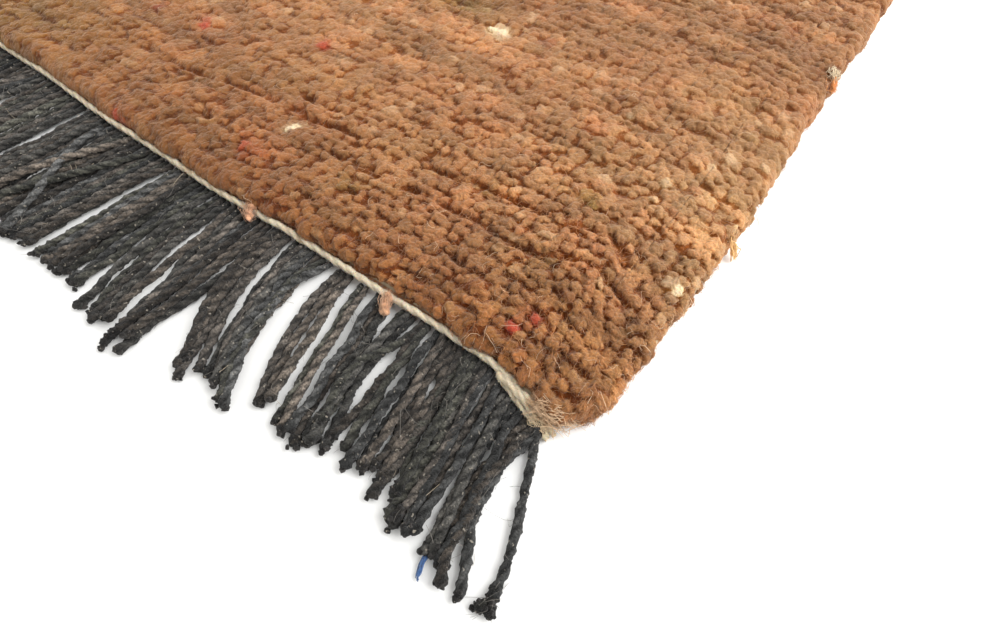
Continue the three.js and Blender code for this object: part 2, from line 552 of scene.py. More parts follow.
def pile_tints(places):
    """A colour for each knot: streaks along the rows, soft patches, odd knots and a few flecks, and broad
    patches that are partly painted light and shade.
    """
    x, y = places[:, 0], places[:, 1]
    streak, patch, cloud = (steady(x, y, *kind) for kind in (STREAKS, PATCHES, CLOUDS))
    chance = rng.random(len(places))
    spread = rng.normal(0, 1, (len(places), 2))
    warm = TERRACOTTA_SHARE + TERRACOTTA_IN_PATCHES * patch + TERRACOTTA_CHANCE * spread[:, 0]
    tint = blend(TAN, TERRACOTTA, np.clip(warm, 0, 1))
    tint = blend(tint, DULL_BROWN, np.clip(DULL_SHARE - DULL_IN_STREAKS * streak, 0, MOST_DULL))
    tone = TONE_CHANCE * spread[:, 1] + TONE_IN_STREAKS * streak + TONE_IN_CLOUDS * cloud
    tint = PILE_SHADE * tint * np.exp(tone)[:, None]
    tint = tint * (1 - np.outer(1 - looseness(x, y), FELTED_SHADE))
    pale, dark = chance < PALE_KNOTS, chance > 1 - DARK_KNOTS
    tint[pale] = tint[pale] * PALE_KEPT + PALE_ADDED
    tint[dark] = tint[dark] * DARK_KEPT + DARK_ADDED
    # Broad patches, partly uneven dye and partly painted light and shade
    for shade_x, shade_y, reach_x, reach_y, kept in DYE_AND_PAINTED_LIGHT_PATCHES:
        far = ((x / MM - shade_x) / reach_x) ** 2 + ((y / MM - shade_y) / reach_y) ** 2
        tint = tint * np.array(kept) ** np.exp(-far)[:, None]
    for fleck_x, fleck_y, reach, colour in FLECKS:
        away = np.hypot(x / MM - fleck_x, y / MM - fleck_y) / reach
        tint = blend(tint, colour, FLECK_STRENGTH * np.exp(-(away**4)))
    return tint * WOOL_BALANCE


# The pile is one sheet of knots, thought of as spread out flat and then folded down over the rug's rim

PILE_FOOT = 0.6 * MM
BASE_HEIGHT = 8.9 * MM
RIM_RADIUS = 4.2 * MM
RIM_INSET = 1.0 * MM
FOOT_TUCK = 0.5 * MM
END_OVERHANG = 1.4 * MM
OVERHANG_HEIGHTS = (3.2 * MM, 5.8 * MM)
OVERHANG_FADE = (-20 * MM, -6 * MM)
WALL_RISE = BASE_HEIGHT - RIM_RADIUS - PILE_FOOT
RIM_ARC = RIM_RADIUS * math.pi / 2
FOLDED = WALL_RISE + RIM_ARC - RIM_INSET - RIM_RADIUS
SPREAD_HALF_WIDTH = HALF_WIDTH + FOLDED
SPREAD_HALF_LENGTH = HALF_LENGTH + FOLDED
SQUARE_CORNER = 11 * MM

# A corner's outline is round at a power of 2 and squarer above it
WORN_POWER = 2.0
SQUARE_POWER = 6.0

# How far from a worn corner the pile starts and ends to be felted, and how that reach is stretched
LOOSE_REACH = (20 * MM, 175 * MM)
LOOSE_STRETCH = (0.8, 1.25)

COLUMNS = round(2 * SPREAD_HALF_WIDTH / KNOT_PITCH)
ROWS = round(2 * SPREAD_HALF_LENGTH / KNOT_PITCH)
FELTED_RISE = 0.95 * MM
LOOSE_RISE = 1.65 * MM
FELTED_SOFT = 0.36 * MM
LOOSE_SOFT = 0.2 * MM
FELTED_CURL = 0.8
NAP_LEAN = (0.15, -0.4)
LOBE_SWELL = 0.32
SWELL_EDGE = 1.15
HIGHEST = 1.3
# How much deeper the partings are set for the painted crevice shade
PARTING_PAINTED_SHADE = 1.1
END_FLATTENING = 0.3
END_FADE = (16 * MM, 8 * MM)

# How the knots stray and sway, and how the whole pile swells. Noise has its level and scales
KNOT_STRAY = 0.65 * MM
ROW_SWAY_ACROSS = 0.9 * MM
ROW_SWAY_ALONG = 1.3 * MM
SWAYS_ACROSS = (2, 30, 0.9)
SWAYS_ALONG = (6, 34, 0.7)
SWELLS = ((1.2 * MM, (1, 45, 85)), (1.1 * MM, (4, 110, 150)))
CROWDED_DROP = 3 * MM
MOST_CROWDED = 0.6

# How much one knot differs from the next, and how much more it does so where the pile is loose
LIFT_SPREAD = (0.28 * MM, 0.24 * MM)
TURN_SPREAD = (0.6, 0.35)
SIZE_SPREAD = 0.13

# The lobes of one knot: how far from its middle each is where the pile is felted and where it is loose, its
# radius in both, how much lower it is, all in millimetres, and which way it lies as a part of a turn
LOBES = (
    (0.3, 0.3, 2.0, 1.9, 0.0, 0.25),
    (1.1, 1.25, 1.5, 1.3, 0.2, 0.0),
    (1.1, 1.25, 1.5, 1.3, 0.2, 0.5),
    (1.4, 1.6, 1.15, 1.0, 0.4, 0.3),
)

# How much one lobe differs from the next: its way, distance, radius and drop, which is less in felted pile,
# its stretch and its turn
LOBE_WAY_SPREAD = 0.5
LOBE_AWAY_SPREAD = 0.22
LOBE_RADIUS_SPREAD = 0.17
LOBE_DROP_SPREAD = 0.32
FELTED_DROP = 0.6
LOBE_STRETCH = (0.08, 0.16)
LOBE_TURN_SPREAD = 0.9

# The pile is made in bands along the rug. What the photo shows of them has a close mesh, whose steps grow
# away from the camera, in pieces of at least the given area. The rest has a far one
BAND_COUNT = 24
CLOSE_STEP = 0.45 * MM
CLOSE_GROWTH = 1.9
FAR_STEP = 2.5 * MM
CLOSE_MARGIN = 16
REACH_STEP = 4 * MM
TUFT_HEIGHT = 3 * MM
LEAST_PIECE = 9000 * MM * MM
MAP_MARGIN = 0.02


def rim(distance):
    """How far the folded sheet falls behind the flat one, its height and how steeply it faces outwards."""
    angle = np.clip((distance - WALL_RISE) / RIM_RADIUS, 0, math.pi / 2)
    up_wall = np.clip(distance, 0, WALL_RISE)
    inset = RIM_INSET + FOOT_TUCK * (1 - up_wall / WALL_RISE) ** 2 + RIM_RADIUS * (1 - np.cos(angle))
    beyond = np.maximum(distance - WALL_RISE - RIM_ARC, 0)
    fall = inset + beyond - distance + FOLDED
    height = PILE_FOOT + up_wall + RIM_RADIUS * np.sin(angle)
    return fall, height, np.cos(angle), np.sin(angle)


def fold(x, y):
    """Lays places of the spread-out sheet on the rug, and says which way is out of the pile there."""
    turned = np.where(y > 0, -1.0, 1.0)
    px, py = x * turned, y * turned
    worn = px > 0
    zone_x = np.where(worn, CORNER_ALONG_END, SQUARE_CORNER) + FOLDED
    zone_y = np.where(worn, CORNER_ALONG_SIDE, SQUARE_CORNER) + FOLDED
    over_x = np.maximum(np.abs(px) - SPREAD_HALF_WIDTH + zone_x, 0) / zone_x
    over_y = np.maximum(-py - SPREAD_HALF_LENGTH + zone_y, 0) / zone_y
    reach = np.maximum(over_x, over_y)
    power = np.where(worn, WORN_POWER, SQUARE_POWER)
    length = np.maximum(over_x**power + over_y**power, TINY) ** (1 / power)
    way_x, way_y = over_x / length, over_y / length
    share = over_x**2 / np.maximum(over_x**2 + over_y**2, TINY)
    distance = (1 - reach) * (zone_x * share + zone_y * (1 - share))
    distance = np.where(reach > 0, distance, 1.0)
    fall, height, outward, upward = rim(distance)
    core_x = np.minimum(np.abs(px), SPREAD_HALF_WIDTH - zone_x)
    core_y = np.maximum(py, -(SPREAD_HALF_LENGTH - zone_y))
    new_x = np.sign(px) * (core_x + way_x * (zone_x * reach - fall))
    lean = END_OVERHANG * smooth(height, *OVERHANG_HEIGHTS) * smooth(-distance, *OVERHANG_FADE)
    new_y = core_y - way_y * (zone_y * reach - fall + lean)
    flat = np.maximum(np.hypot(way_x, way_y), TINY)
    out = np.stack([np.sign(px) * way_x / flat * outward, -way_y / flat * outward, upward], axis=-1)
    out[..., :2] *= turned[..., None]
    x, y = on_rug(new_x * turned / HALF_WIDTH, new_y * turned / HALF_LENGTH)
    return np.stack([x, y, height], axis=-1), out


def looseness(x, y):
    """1 at the two worn corners, where the knots stand apart, down to 0 where the pile is felted."""
    turned = np.where(y > 0, -1, 1)
    stretch_x, stretch_y = LOOSE_STRETCH
    away = np.hypot(stretch_x * (x * turned - HALF_WIDTH), stretch_y * (y * turned + HALF_LENGTH))
    return 1 - smooth(away, *LOOSE_REACH)


def by_looseness(felted, apart, loose):
    """From a value of felted pile to the one of pile whose knots stand apart."""
    return felted + (apart - felted) * loose


def tie_knots():
    """Lobes of all knots, with their places on the spread-out sheet, radii, lifts and stretches, and the
    tints of the knots."""
    row, column = np.mgrid[0:ROWS, 0:COLUMNS]
    x = ((column + 0.5) / COLUMNS * 2 - 1) * SPREAD_HALF_WIDTH
    y = ((row + 0.5) / ROWS * 2 - 1) * SPREAD_HALF_LENGTH
    loose = looseness(x, y)
    places, out = fold(x, y)
    places += out * RIM_INSET
    gaps = (np.linalg.norm(np.gradient(places, axis=axis), axis=2) for axis in (1, 0))
    squeeze_x, squeeze_y = (gap / KNOT_PITCH for gap in gaps)
    crowd = np.clip(1 - np.minimum(squeeze_x, squeeze_y), 0, MOST_CROWDED)
    x = x + rng.normal(0, KNOT_STRAY, x.shape) + ROW_SWAY_ACROSS * steady(x, row, *SWAYS_ACROSS)
    y = y + rng.normal(0, KNOT_STRAY, x.shape) + ROW_SWAY_ALONG * steady(x, row, *SWAYS_ALONG)
    lift = sum(size * steady(x, y, *kind) for size, kind in SWELLS)
    lift += rng.normal(0, 1, x.shape) * (LIFT_SPREAD[0] + LIFT_SPREAD[1] * loose)
    lift -= (row + column) % 2 * CROWDED_DROP * crowd
    size = factors(SIZE_SPREAD, x.shape) * MM
    first = rng.normal(0, TURN_SPREAD[0] + TURN_SPREAD[1] * loose, x.shape)
    lobes = []
    for away_felted, away_loose, radius_felted, radius_loose, lower, way in LOBES:
        angle = first + TURN * way + rng.normal(0, LOBE_WAY_SPREAD, x.shape)
        away = by_looseness(away_felted, away_loose, loose) + rng.normal(0, LOBE_AWAY_SPREAD, x.shape)
        radius = by_looseness(radius_felted, radius_loose, loose)
        radius = radius + rng.normal(0, LOBE_RADIUS_SPREAD, x.shape)
        drop = np.abs(rng.normal(lower, LOBE_DROP_SPREAD, x.shape))
        drop = drop * by_looseness(FELTED_DROP, 1, loose) * MM
        stretch = np.exp(rng.normal(*LOBE_STRETCH, x.shape))
        turn = rng.normal(0, LOBE_TURN_SPREAD, x.shape)
        centre_x = x + np.cos(angle) * away * size / squeeze_x
        centre_y = y + np.sin(angle) * away * size / squeeze_y
        lobes.append((centre_x, centre_y, squeeze_x, squeeze_y, radius * size, lift - drop, stretch, turn))
    places, _ = fold(x.ravel(), y.ravel())
    return lobes, pile_tints(places).reshape(ROWS, COLUMNS, 3)


def partings(x, y):
    """How near each place is, from 0 to 1, to the middle of a long crevice."""
    near = np.zeros(len(x))
    close = np.flatnonzero((x > PARTED_FROM[0]) & (y < PARTED_FROM[1]))
    sway = PARTING_SWAY * steady(x[close], y[close], *PARTING_SWAYS)
    places = np.stack([x[close], y[close] + sway], axis=1)
    for spots in PARTINGS:
        for start, finish in zip(np.array(spots) * MM, np.array(spots[1:]) * MM):
            way = finish - start
            part = np.clip((places - start) @ way / (way @ way), 0, 1)
            away = np.linalg.norm(places - start - part[:, None] * way, axis=1)
            near[close] = np.maximum(near[close], np.exp(-((away / PARTING_WIDTH) ** 2)))
    marked = np.flatnonzero(near > FAINTEST)
    even, uneven = PARTING_STRENGTH
    near[marked] *= np.clip(even + uneven * steady(x[marked], y[marked], *PARTING_FADES), 0, 1)
    return near


def relief(x, y, lobes, tints):
    """What the knots add to the base at each place: height, sideways shift, tint, and how far out of the
    crevices it is."""
    near_row = np.rint((y / SPREAD_HALF_LENGTH + 1) / 2 * ROWS - 0.5).astype(int)
    near_column = np.rint((x / SPREAD_HALF_WIDTH + 1) / 2 * COLUMNS - 0.5).astype(int)
    loose = looseness(x, y)
    soft = by_looseness(FELTED_SOFT, LOOSE_SOFT, loose)
    rise = by_looseness(FELTED_RISE, LOOSE_RISE, loose)
    at_end = smooth(np.abs(y) - SPREAD_HALF_LENGTH, -END_FADE[0], -END_FADE[1]) * (1 - loose)
    rise = rise * (1 - END_FLATTENING * at_end)
    total, top = np.zeros((2, len(x)))
    tint = np.zeros((len(x), 3))
    shift = np.zeros((len(x), 2))
    for step_row, step_column in np.ndindex(3, 3):
        r = np.clip(near_row + step_row - 1, 0, ROWS - 1)
        c = np.clip(near_column + step_column - 1, 0, COLUMNS - 1)
        for lobe in lobes:
            own = [part[r, c] for part in lobe]
            centre_x, centre_y, squeeze_x, squeeze_y, radius, lift, stretch, turn = own
            dx, dy = x - centre_x, y - centre_y
            true_x, true_y = dx * squeeze_x, dy * squeeze_y
            along = (true_x * np.cos(turn) + true_y * np.sin(turn)) / (radius * stretch)
            across = (true_y * np.cos(turn) - true_x * np.sin(turn)) / radius * stretch
            far = along**2 + across**2
            dome = np.where(far < 1, np.sqrt(np.maximum(1 - far, 0)), 1 - np.sqrt(np.maximum(far, 1)))
            weight = np.exp((lift + rise * (dome - 1)) / soft)
            swell = LOBE_SWELL * np.clip(far, 0, 1) * np.clip(SWELL_EDGE - far, 0, 1)
            total += weight
            top += weight * lift
            tint += weight[:, None] * tints[r, c]
            shift += (weight * swell)[:, None] * np.stack([dx, dy], axis=1)
    height = soft * np.log(total)
    shift += (total * height)[:, None] * NAP_LEAN
    depth = np.clip(1 + (height - top / total) / rise, 0, HIGHEST)
    parted = partings(x, y)
    height -= PARTING_DEPTH * parted
    # Painted shade: partings are also set deeper for the wool's painted crevice shade
    depth -= PARTING_PAINTED_SHADE * parted
    return height, shift / total[:, None], tint / total[:, None], depth


def squares_of(number):
    """The squares between the neighbours in a grid of numbers, anticlockwise."""
    corners = (number[:-1, :-1], number[:-1, 1:], number[1:, 1:], number[1:, :-1])
    return np.stack(corners, axis=-1).reshape(-1, 4)


def ring_of(number):
    """The numbers round the edge of a grid of them, anticlockwise."""
    return np.concatenate([number[0], number[1:, -1], number[-1, -2::-1], number[-2:0:-1, 0]])


def block(x_span, y_span, step, growth, cell):
    """One closed block of pile: a fine top, and plain walls and a plain underside that don't show. The
    steps along y grow. It has places, its ring of edge places, faces, and map places for the faces'
    corners: the top in the middle of its cell of the map, the walls round it, and the underside in a
    strip above."""
    columns = max(round((x_span[1] - x_span[0]) / step), 2)
    rows = max(round((y_span[1] - y_span[0]) / step / ((1 + growth) / 2)), 2)
    part = np.linspace(0, 1, rows + 1)
    part = part * (2 + (growth - 1) * part) / (1 + growth)
    x, y = np.meshgrid(np.linspace(*x_span, columns + 1), y_span[0] + np.ptp(y_span) * part)
    number = np.arange(x.size).reshape(x.shape)
    top, ring = squares_of(number), ring_of(number)
    under = x.size + np.arange(len(ring))
    walls = np.stack([np.roll(ring, -1), ring, under, np.roll(under, -1)], axis=-1)

    across, along = (x - x_span[0]) / np.ptp(x_span), (y - y_span[0]) / np.ptp(y_span)
    parts = np.stack([across.ravel(), along.ravel()], axis=-1)
    inner = parts * (1 - 2 * MAP_MARGIN, 1 - 3 * MAP_MARGIN) + MAP_MARGIN
    outer = parts[ring] * (1, 1 - MAP_MARGIN)
    spots = np.concatenate([inner, outer])
    lid = parts[ring] * (1, 0.8 * MAP_MARGIN) + (0, 1 - 0.9 * MAP_MARGIN)
    corners = np.concatenate([spots[top.ravel()], spots[walls.ravel()], lid[::-1]])
    left, low, width, height = cell
    corners = corners * (width, height) + (left, low)
    return x.ravel(), y.ravel(), ring, [*top.tolist(), *walls.tolist(), under[::-1].tolist()], corners


def pile_piece(name, blocks, lobes, tints, growth, wool):
    """Joins blocks of the spread-out sheet into one mesh with the knots' relief, and folds it down."""
    places, faces, corners, tint, depth, free, loose = [], [], [], [], [], [], []
    count = 0
    for x, y, ring, block_faces, spots in blocks:
        height, shift, own_tint, own_depth = relief(x, y, lobes, tints)
        own_loose = looseness(x, y)
        base, out = fold(x + shift[:, 0], y + shift[:, 1])
        base = base + out * (height + RIM_INSET)[:, None]
        base[:, 2] = np.maximum(base[:, 2], PILE_FOOT)
        low = base[ring] * (1, 1, 0) + (0, 0, PILE_FOOT / 2)
        places += [base, low]
        faces += [[i + count for i in face] for face in block_faces]
        corners.append(spots)
        tint += [own_tint, own_tint[ring]]
        depth += [own_depth, own_depth[ring]]
        free += [by_looseness(FELTED_CURL, 1, own_loose), np.zeros(len(low))]
        loose += [own_loose, own_loose[ring]]
        count += len(base) + len(low)
    colour = np.concatenate(tint)
    seeds = seed_mesh(
        "pile",
        np.concatenate(places),
        faces=faces,
        tint=np.column_stack([colour, np.ones(len(colour))]),
        depth=np.concatenate(depth),
        free=np.concatenate(free),
        loose=np.concatenate(loose),
    )
    seeds.uv_layers.new(name="OFBake").uv.foreach_set("vector", np.concatenate(corners).ravel())
    return growth.grow(name, seeds, wool)


# Scales of the patterns in the wool, in cells a metre
CURL_SCALE = 800.0
TUFT_SCALE = 330.0
STREAK_SCALE = 2100
FUZZ_SCALE = 1500
CLUMP_SCALE = 480

# Painted shade, the colour that the wool is darkened towards down in its crevices, and a painted highlight,
# the paler colour of the tops of its lumps
PAINTED_CREVICE_SHADE = (0.5, 0.26, 0.04)
PAINTED_TOP_HIGHLIGHT = (1.06, 1.09, 1.2)


def pile_growth():
    graph = Growth("pile wool", curl=0.0008, scale=950.0, fuzz=0.00045)
    free = graph.attribute("free")
    inputs = {"Vector": graph.bent(graph.position()), "Scale": CURL_SCALE, "Smoothness": 0.4}
    cell = graph.node("ShaderNodeTexVoronoi", {"feature": "SMOOTH_F1"}, inputs, "Distance")
    rise = (0.4 - cell) * graph.input("curl") * free
    offset = graph.scaled(graph.node("GeometryNodeInputNormal"), rise)
    inputs = {"Geometry": graph.input("Geometry"), "Offset": offset}
    curled = graph.node("GeometryNodeSetPosition", None, inputs)
    rough = graph.roughen(curled, graph.input("scale"), graph.input("fuzz") * free, 3.0)
    graph.finish(rough)
    return graph


def pile_finish():
    """Wool: each tuft has fine streaks of its own direction. Painted shade turns the crevices dark brown,
    and a painted highlight makes the tops of the lumps paler.
    """
    finish = Finish("pile wool")
    tint = finish.attribute("tint", "Color")
    depth = finish.attribute("depth", "Fac")
    clear = finish.attribute("loose", "Fac") * 0.4 + 0.6
    place = finish.object_place()
    bent = finish.bent(place)
    tuft = finish.node("ShaderNodeTexVoronoi", None, {"Vector": bent, "Scale": TUFT_SCALE}, "Color")
    inputs = {"Vector": bent, "Angle": finish.channel(tuft, 0) * TURN}
    turned = finish.node("ShaderNodeVectorRotate", {"rotation_type": "Z_AXIS"}, inputs)
    streaks = finish.noise(finish.vector("MULTIPLY", turned, (1.0, 0.22, 0.7)), STREAK_SCALE, 2.0, 0.6)
    fibres = streaks * 0.6 + finish.noise(place, FUZZ_SCALE, 3.0, 0.65) * 0.4
    curls = finish.node("ShaderNodeTexVoronoi", None, {"Vector": bent, "Scale": CURL_SCALE}, "Distance")
    # Painted shade: the deeper in a crevice, the darker and browner the wool, more so where the pile is
    # loose
    deep = finish.between(depth + fibres - 0.5 - curls * 0.35, -0.15, 0.5, 1.0, 0.0)
    colour = finish.mix(deep * (clear * 0.4 + 0.6), tint, PAINTED_CREVICE_SHADE, "MULTIPLY")
    # Painted highlight: the tops of the lumps are paler and pinker
    high = finish.between(depth + (fibres - 0.5) * 0.6, 0.7, 1.05)
    colour = finish.mix(high * 0.8, colour, PAINTED_TOP_HIGHLIGHT, "MULTIPLY")
    # The fibres' own light and dark streaks, and painted light and shade on the small lumps: lighter in
    # their middles and darker at their edges
    shade = finish.between(fibres, 0.34, 0.66, -0.22, 0.24) + finish.between(curls, 0.15, 0.7, 0.06, -0.13)
    shade = shade * clear + 1
    shade = shade * finish.between(finish.noise(place, CLUMP_SCALE, 1.0), 0.25, 0.75, 0.92, 1.08)
    shade = shade * finish.between(finish.channel(tuft, 1), 0.0, 1.0, 0.94, 1.06)
    relief = (fibres * 0.7 - curls * 0.5) * clear
    return finish.surface(finish.shaded(colour, shade), relief, 1.0 * MM, sheen=0.35, wool=True)


def close_reach(x_span):
    """How far along a band of the spread-out sheet the photo still shows it."""
    along = np.arange(-SPREAD_HALF_LENGTH, SPREAD_HALF_LENGTH, REACH_STEP)
    seen = np.zeros(len(along), bool)
    for x in x_span:
        places, _ = fold(np.full(len(along), x), along)
        seen |= in_picture(places + (0, 0, TUFT_HEIGHT), CLOSE_MARGIN)
    return along[seen].max() + REACH_STEP if seen.any() else -SPREAD_HALF_LENGTH


def make_pile(lobes, tints):
    growth, wool = pile_growth(), pile_finish()
    edges = np.linspace(-SPREAD_HALF_WIDTH, SPREAD_HALF_WIDTH, BAND_COUNT + 1)
    bands = [(low, high, close_reach((low, high))) for low, high in zip(edges, edges[1:])]
    close, far, area = [[]], [], 0
    for low, high, reach in bands:
        if reach > -SPREAD_HALF_LENGTH:
            if area > LEAST_PIECE:
                close.append([])
                area = 0
            close[-1].append(((low, high), (-SPREAD_HALF_LENGTH, reach)))
            area += (high - low) * (reach + SPREAD_HALF_LENGTH)
        far.append(((low, high), (reach, SPREAD_HALF_LENGTH)))
    pairs = [far[i : i + 2] for i in range(0, BAND_COUNT, 2)]
    pieces = []
    kinds = (("close", close, CLOSE_STEP, CLOSE_GROWTH), ("far", pairs, FAR_STEP, 1.0))
    for kind, groups, step, rate in kinds:
        for number, group in enumerate(groups, 1):
            share = 1 / len(group)
            blocks = [block(*spans, step, rate, (share * i, 0, share, 1)) for i, spans in enumerate(group)]
            pieces.append(pile_piece(f"pile_{kind}_{number:02d}", blocks, lobes, tints, growth, wool))
    return pieces


# Yarns: paths that a Geometry Nodes tree turns into twisted two-ply tubes

YARN_SIDES = 8

# Where a yarn lies in its cell of the unit map, as parts of the cell: a strip along the yarn, and above it
# two small rounds for its ends
STRIP_PLACE = (0.06, 0.01)
STRIP_SIZE = (0.88, 0.92)
ROUND_PLACES = (0.3, 0.7)
ROUND_HEIGHT = 0.965
ROUND_SIZE = (0.12, 0.02)


def yarn_growth():
    graph = Growth("yarn", sides=YARN_SIDES, waist=0.2, hair=950.0, rough=0.00078)
    line = graph.node("GeometryNodeMeshToCurve", None, {"Mesh": graph.input("Geometry")})
    line = graph.node("GeometryNodeSetCurveNormal", {"mode": "Z_UP"}, {"Curve": line})
    line = graph.node("GeometryNodeSetCurveTilt", None, {"Curve": line, "Tilt": graph.attribute("twist")})
    inputs = {"Resolution": graph.input("sides"), "Radius": 1.0}
    ring = graph.node("GeometryNodeCurvePrimitiveCircle", None, inputs)
    off_waist = graph.axis(graph.position(), 1)
    # The groove between the two plies: it pinches the ring, and the finishes paint shade into it
    marked = graph.store(ring, "groove", off_waist * off_waist, "FLOAT")
    pinched = graph.scaled(graph.position(), 1 - graph.attribute("groove") * graph.input("waist"))
    section = graph.node("GeometryNodeSetPosition", None, {"Geometry": marked, "Position": pinched})
    inputs = {"Curve": line, "Profile Curve": section, "Scale": graph.attribute("thick"), "Fill Caps": True}
    tube = graph.node("GeometryNodeCurveToMesh", None, inputs)
    graph.finish(graph.roughen(tube, graph.input("hair"), graph.input("rough"), 2.0))
    return graph


def lay_yarn_map(mesh, sides, points, slender):
    """Gives each yarn a cell of the unit map."""
    vertex = np.empty(len(mesh.loops), int)
    mesh.loops.foreach_get("vertex_index", vertex)
    start = np.empty(len(mesh.polygons), int)
    size = np.empty(len(mesh.polygons), int)
    mesh.polygons.foreach_get("loop_start", start)
    mesh.polygons.foreach_get("loop_total", size)
    yarn, place = np.divmod(vertex, sides * points)
    along, turn = np.divmod(place, sides)
    end = np.repeat(size == sides, size)
    seam = np.maximum.reduceat(turn, start) - np.minimum.reduceat(turn, start) == sides - 1
    around = np.where(np.repeat(seam, size) & (turn == 0), sides, turn)
    count = len(mesh.vertices) // (sides * points)
    per_row = math.ceil(math.sqrt(count * slender))
    rows = math.ceil(count / per_row)
    angle = TURN * turn / sides
    strip_u = STRIP_PLACE[0] + STRIP_SIZE[0] * around / sides
    strip_v = STRIP_PLACE[1] + STRIP_SIZE[1] * along / (points - 1)
    u = np.where(end, np.where(along > 0, *ROUND_PLACES[::-1]) + ROUND_SIZE[0] * np.cos(angle), strip_u)
    v = np.where(end, ROUND_HEIGHT + ROUND_SIZE[1] * np.sin(angle), strip_v)
    spots = np.stack([(yarn % per_row + u) / per_row, (yarn // per_row + v) / rows], axis=1)
    layer = mesh.uv_layers.get("OFBake") or mesh.uv_layers.new(name="OFBake")
    layer.uv.foreach_set("vector", spots.ravel())


def spin_yarns(name, growth, material, paths, thick, twist, tint, slender=6.0, **sizes):
    """One mesh of yarns. Paths and tints are by yarn, point and axis, thickness and twist by yarn and
    point."""
    count, points = paths.shape[:2]
    first = np.arange(count * points).reshape(count, points)
    edges = np.stack([first[:, :-1], first[:, 1:]], axis=-1).reshape(-1, 2)
    colour = np.ones((count, points, 4))
    colour[..., :3] = tint
    values = {"thick": thick.ravel(), "twist": twist.ravel(), "tint": colour.reshape(-1, 4)}
    seeds = seed_mesh(name, paths.reshape(-1, 3), edges=edges.tolist(), **values)
    piece = growth.grow(name, seeds, material, **sizes)
    lay_yarn_map(piece.data, sizes.get("sides", YARN_SIDES), points, slender)
    return piece


# Fine yarns are plain three-sided threads
FINE_YARN = {"sides": 3, "waist": 0.0, "rough": 0.00004}


def lengths_along(paths):
    steps = np.linalg.norm(np.diff(paths, axis=1), axis=2)
    return np.concatenate([np.zeros((len(paths), 1)), np.cumsum(steps, axis=1)], axis=1)


# The fringe

STRAND_RADIUS = 1.45 * MM
STRAND_TUCK = 1.8 * MM
PLY_TURN = 10.5 * MM
PLY_TURN_SPREAD = 0.12
KNOB_LENGTH = 3.2 * MM
YARN_TINTS = tuple(
    linear(*tint) for tint in ((82, 76, 70), (74, 72, 68), (87, 79, 71), (72, 72, 71), (78, 77, 69))
)
CUT_TINT = linear(44, 41, 39)
CLOSE_POINTS = 52
FAR_POINTS = 14
FAR_SIDES = 6
SECTIONS = 3
STRAND_MARGIN = 30

# How far strands stray from an even spread under the cord, half way and at the tips, and in length
STRAND_STRAY = (0.25 * MM, 0.6 * MM, 1.0 * MM)
LENGTH_STRAY = 1.8 * MM

# How strands sway, as a width and a number of waves, and from which part of the way on they sway fully
SWAYS = ((0.5 * MM, 0.9), (0.3 * MM, 2.6))
SWAY_FULL = 0.35

# How strands lie on each other where they are crowded, fall to the floor and come out under the cord
SMALLEST_GAP = 1.0 * MM
STACK_SHARE = 0.9
MOST_STACKED = 2.2 * MM
ALONE_FROM = (1.6 * MM, 2.6 * MM)
FALL_START = (0.75, 0.15)
FALL_END = 1.02
EMERGED = 8 * MM
RISE_UNDER_CORD = 0.35
HUMP_HEIGHT = 0.3 * MM
HUMPS = 1.7

# How thick a strand is beside the next, its slubs, the knob at its cut end, and how it thins under the cord
THICKNESS_SPREAD = 0.06
SLUB_SWELL = 0.07
SLUBS = 3.1
KNOB_PLACE = 0.3
KNOB_REACH = 0.6
KNOB_SWELL = (0.1, 0.34)
LAST_POINT = 0.55
THINNER = 0.2
THINNER_REACH = 5 * MM

# How its grey differs from the next, how much darker it is at its tip, and the painted shadow that
# darkens it under the cord
STRAND_TONE_SPREAD = 0.42
DARKER_TIP = 0.7
PAINTED_ROOT_SHADOW = 0.5
PAINTED_ROOT_SHADOW_REACH = 6 * MM

# Short felted yarns at each cut end, how far they lie from its tip, and from which point back the tip's
# way is taken
LUMP_POINTS = 5
LUMP_SHAPE = (0.55, 0.9, 1.0, 0.9, 0.55)
LUMP_BEND = 0.5
LUMP_FLATNESS = 0.7
END_LUMPS = 9
END_LUMP_LENGTH = (0.9 * MM, 1.7 * MM)
END_LUMP_RADIUS = (0.6 * MM, 1.1 * MM)
END_LENGTH = 1.4
END_ALONG = 0.8
END_ASIDE = 0.65
END_FLATNESS = 0.8
END_WAY_FROM = 6
END_TONE_SPREAD = 0.4

# Fine hairs on the strands
HAIR_COUNT = 800
HAIR_POINTS = 5
HAIR_LENGTH = (1.5 * MM, 5 * MM)
HAIR_RADIUS = (0.03, 0.055)
HAIR_ROOT = 0.9
HAIR_UPWARDS = 0.8
HAIR_ASIDE = 0.6
HAIR_TANGLE = 0.4
HAIR_BEND = 0.5
HAIR_DROOP = 0.3
HAIR_LOWEST = 0.2 * MM
HAIR_TONE_SPREAD = 0.3
PALE_HAIRS = 0.08
PALE_HAIR = linear(214, 196, 168)
GREY_HAIR = linear(130, 124, 116)

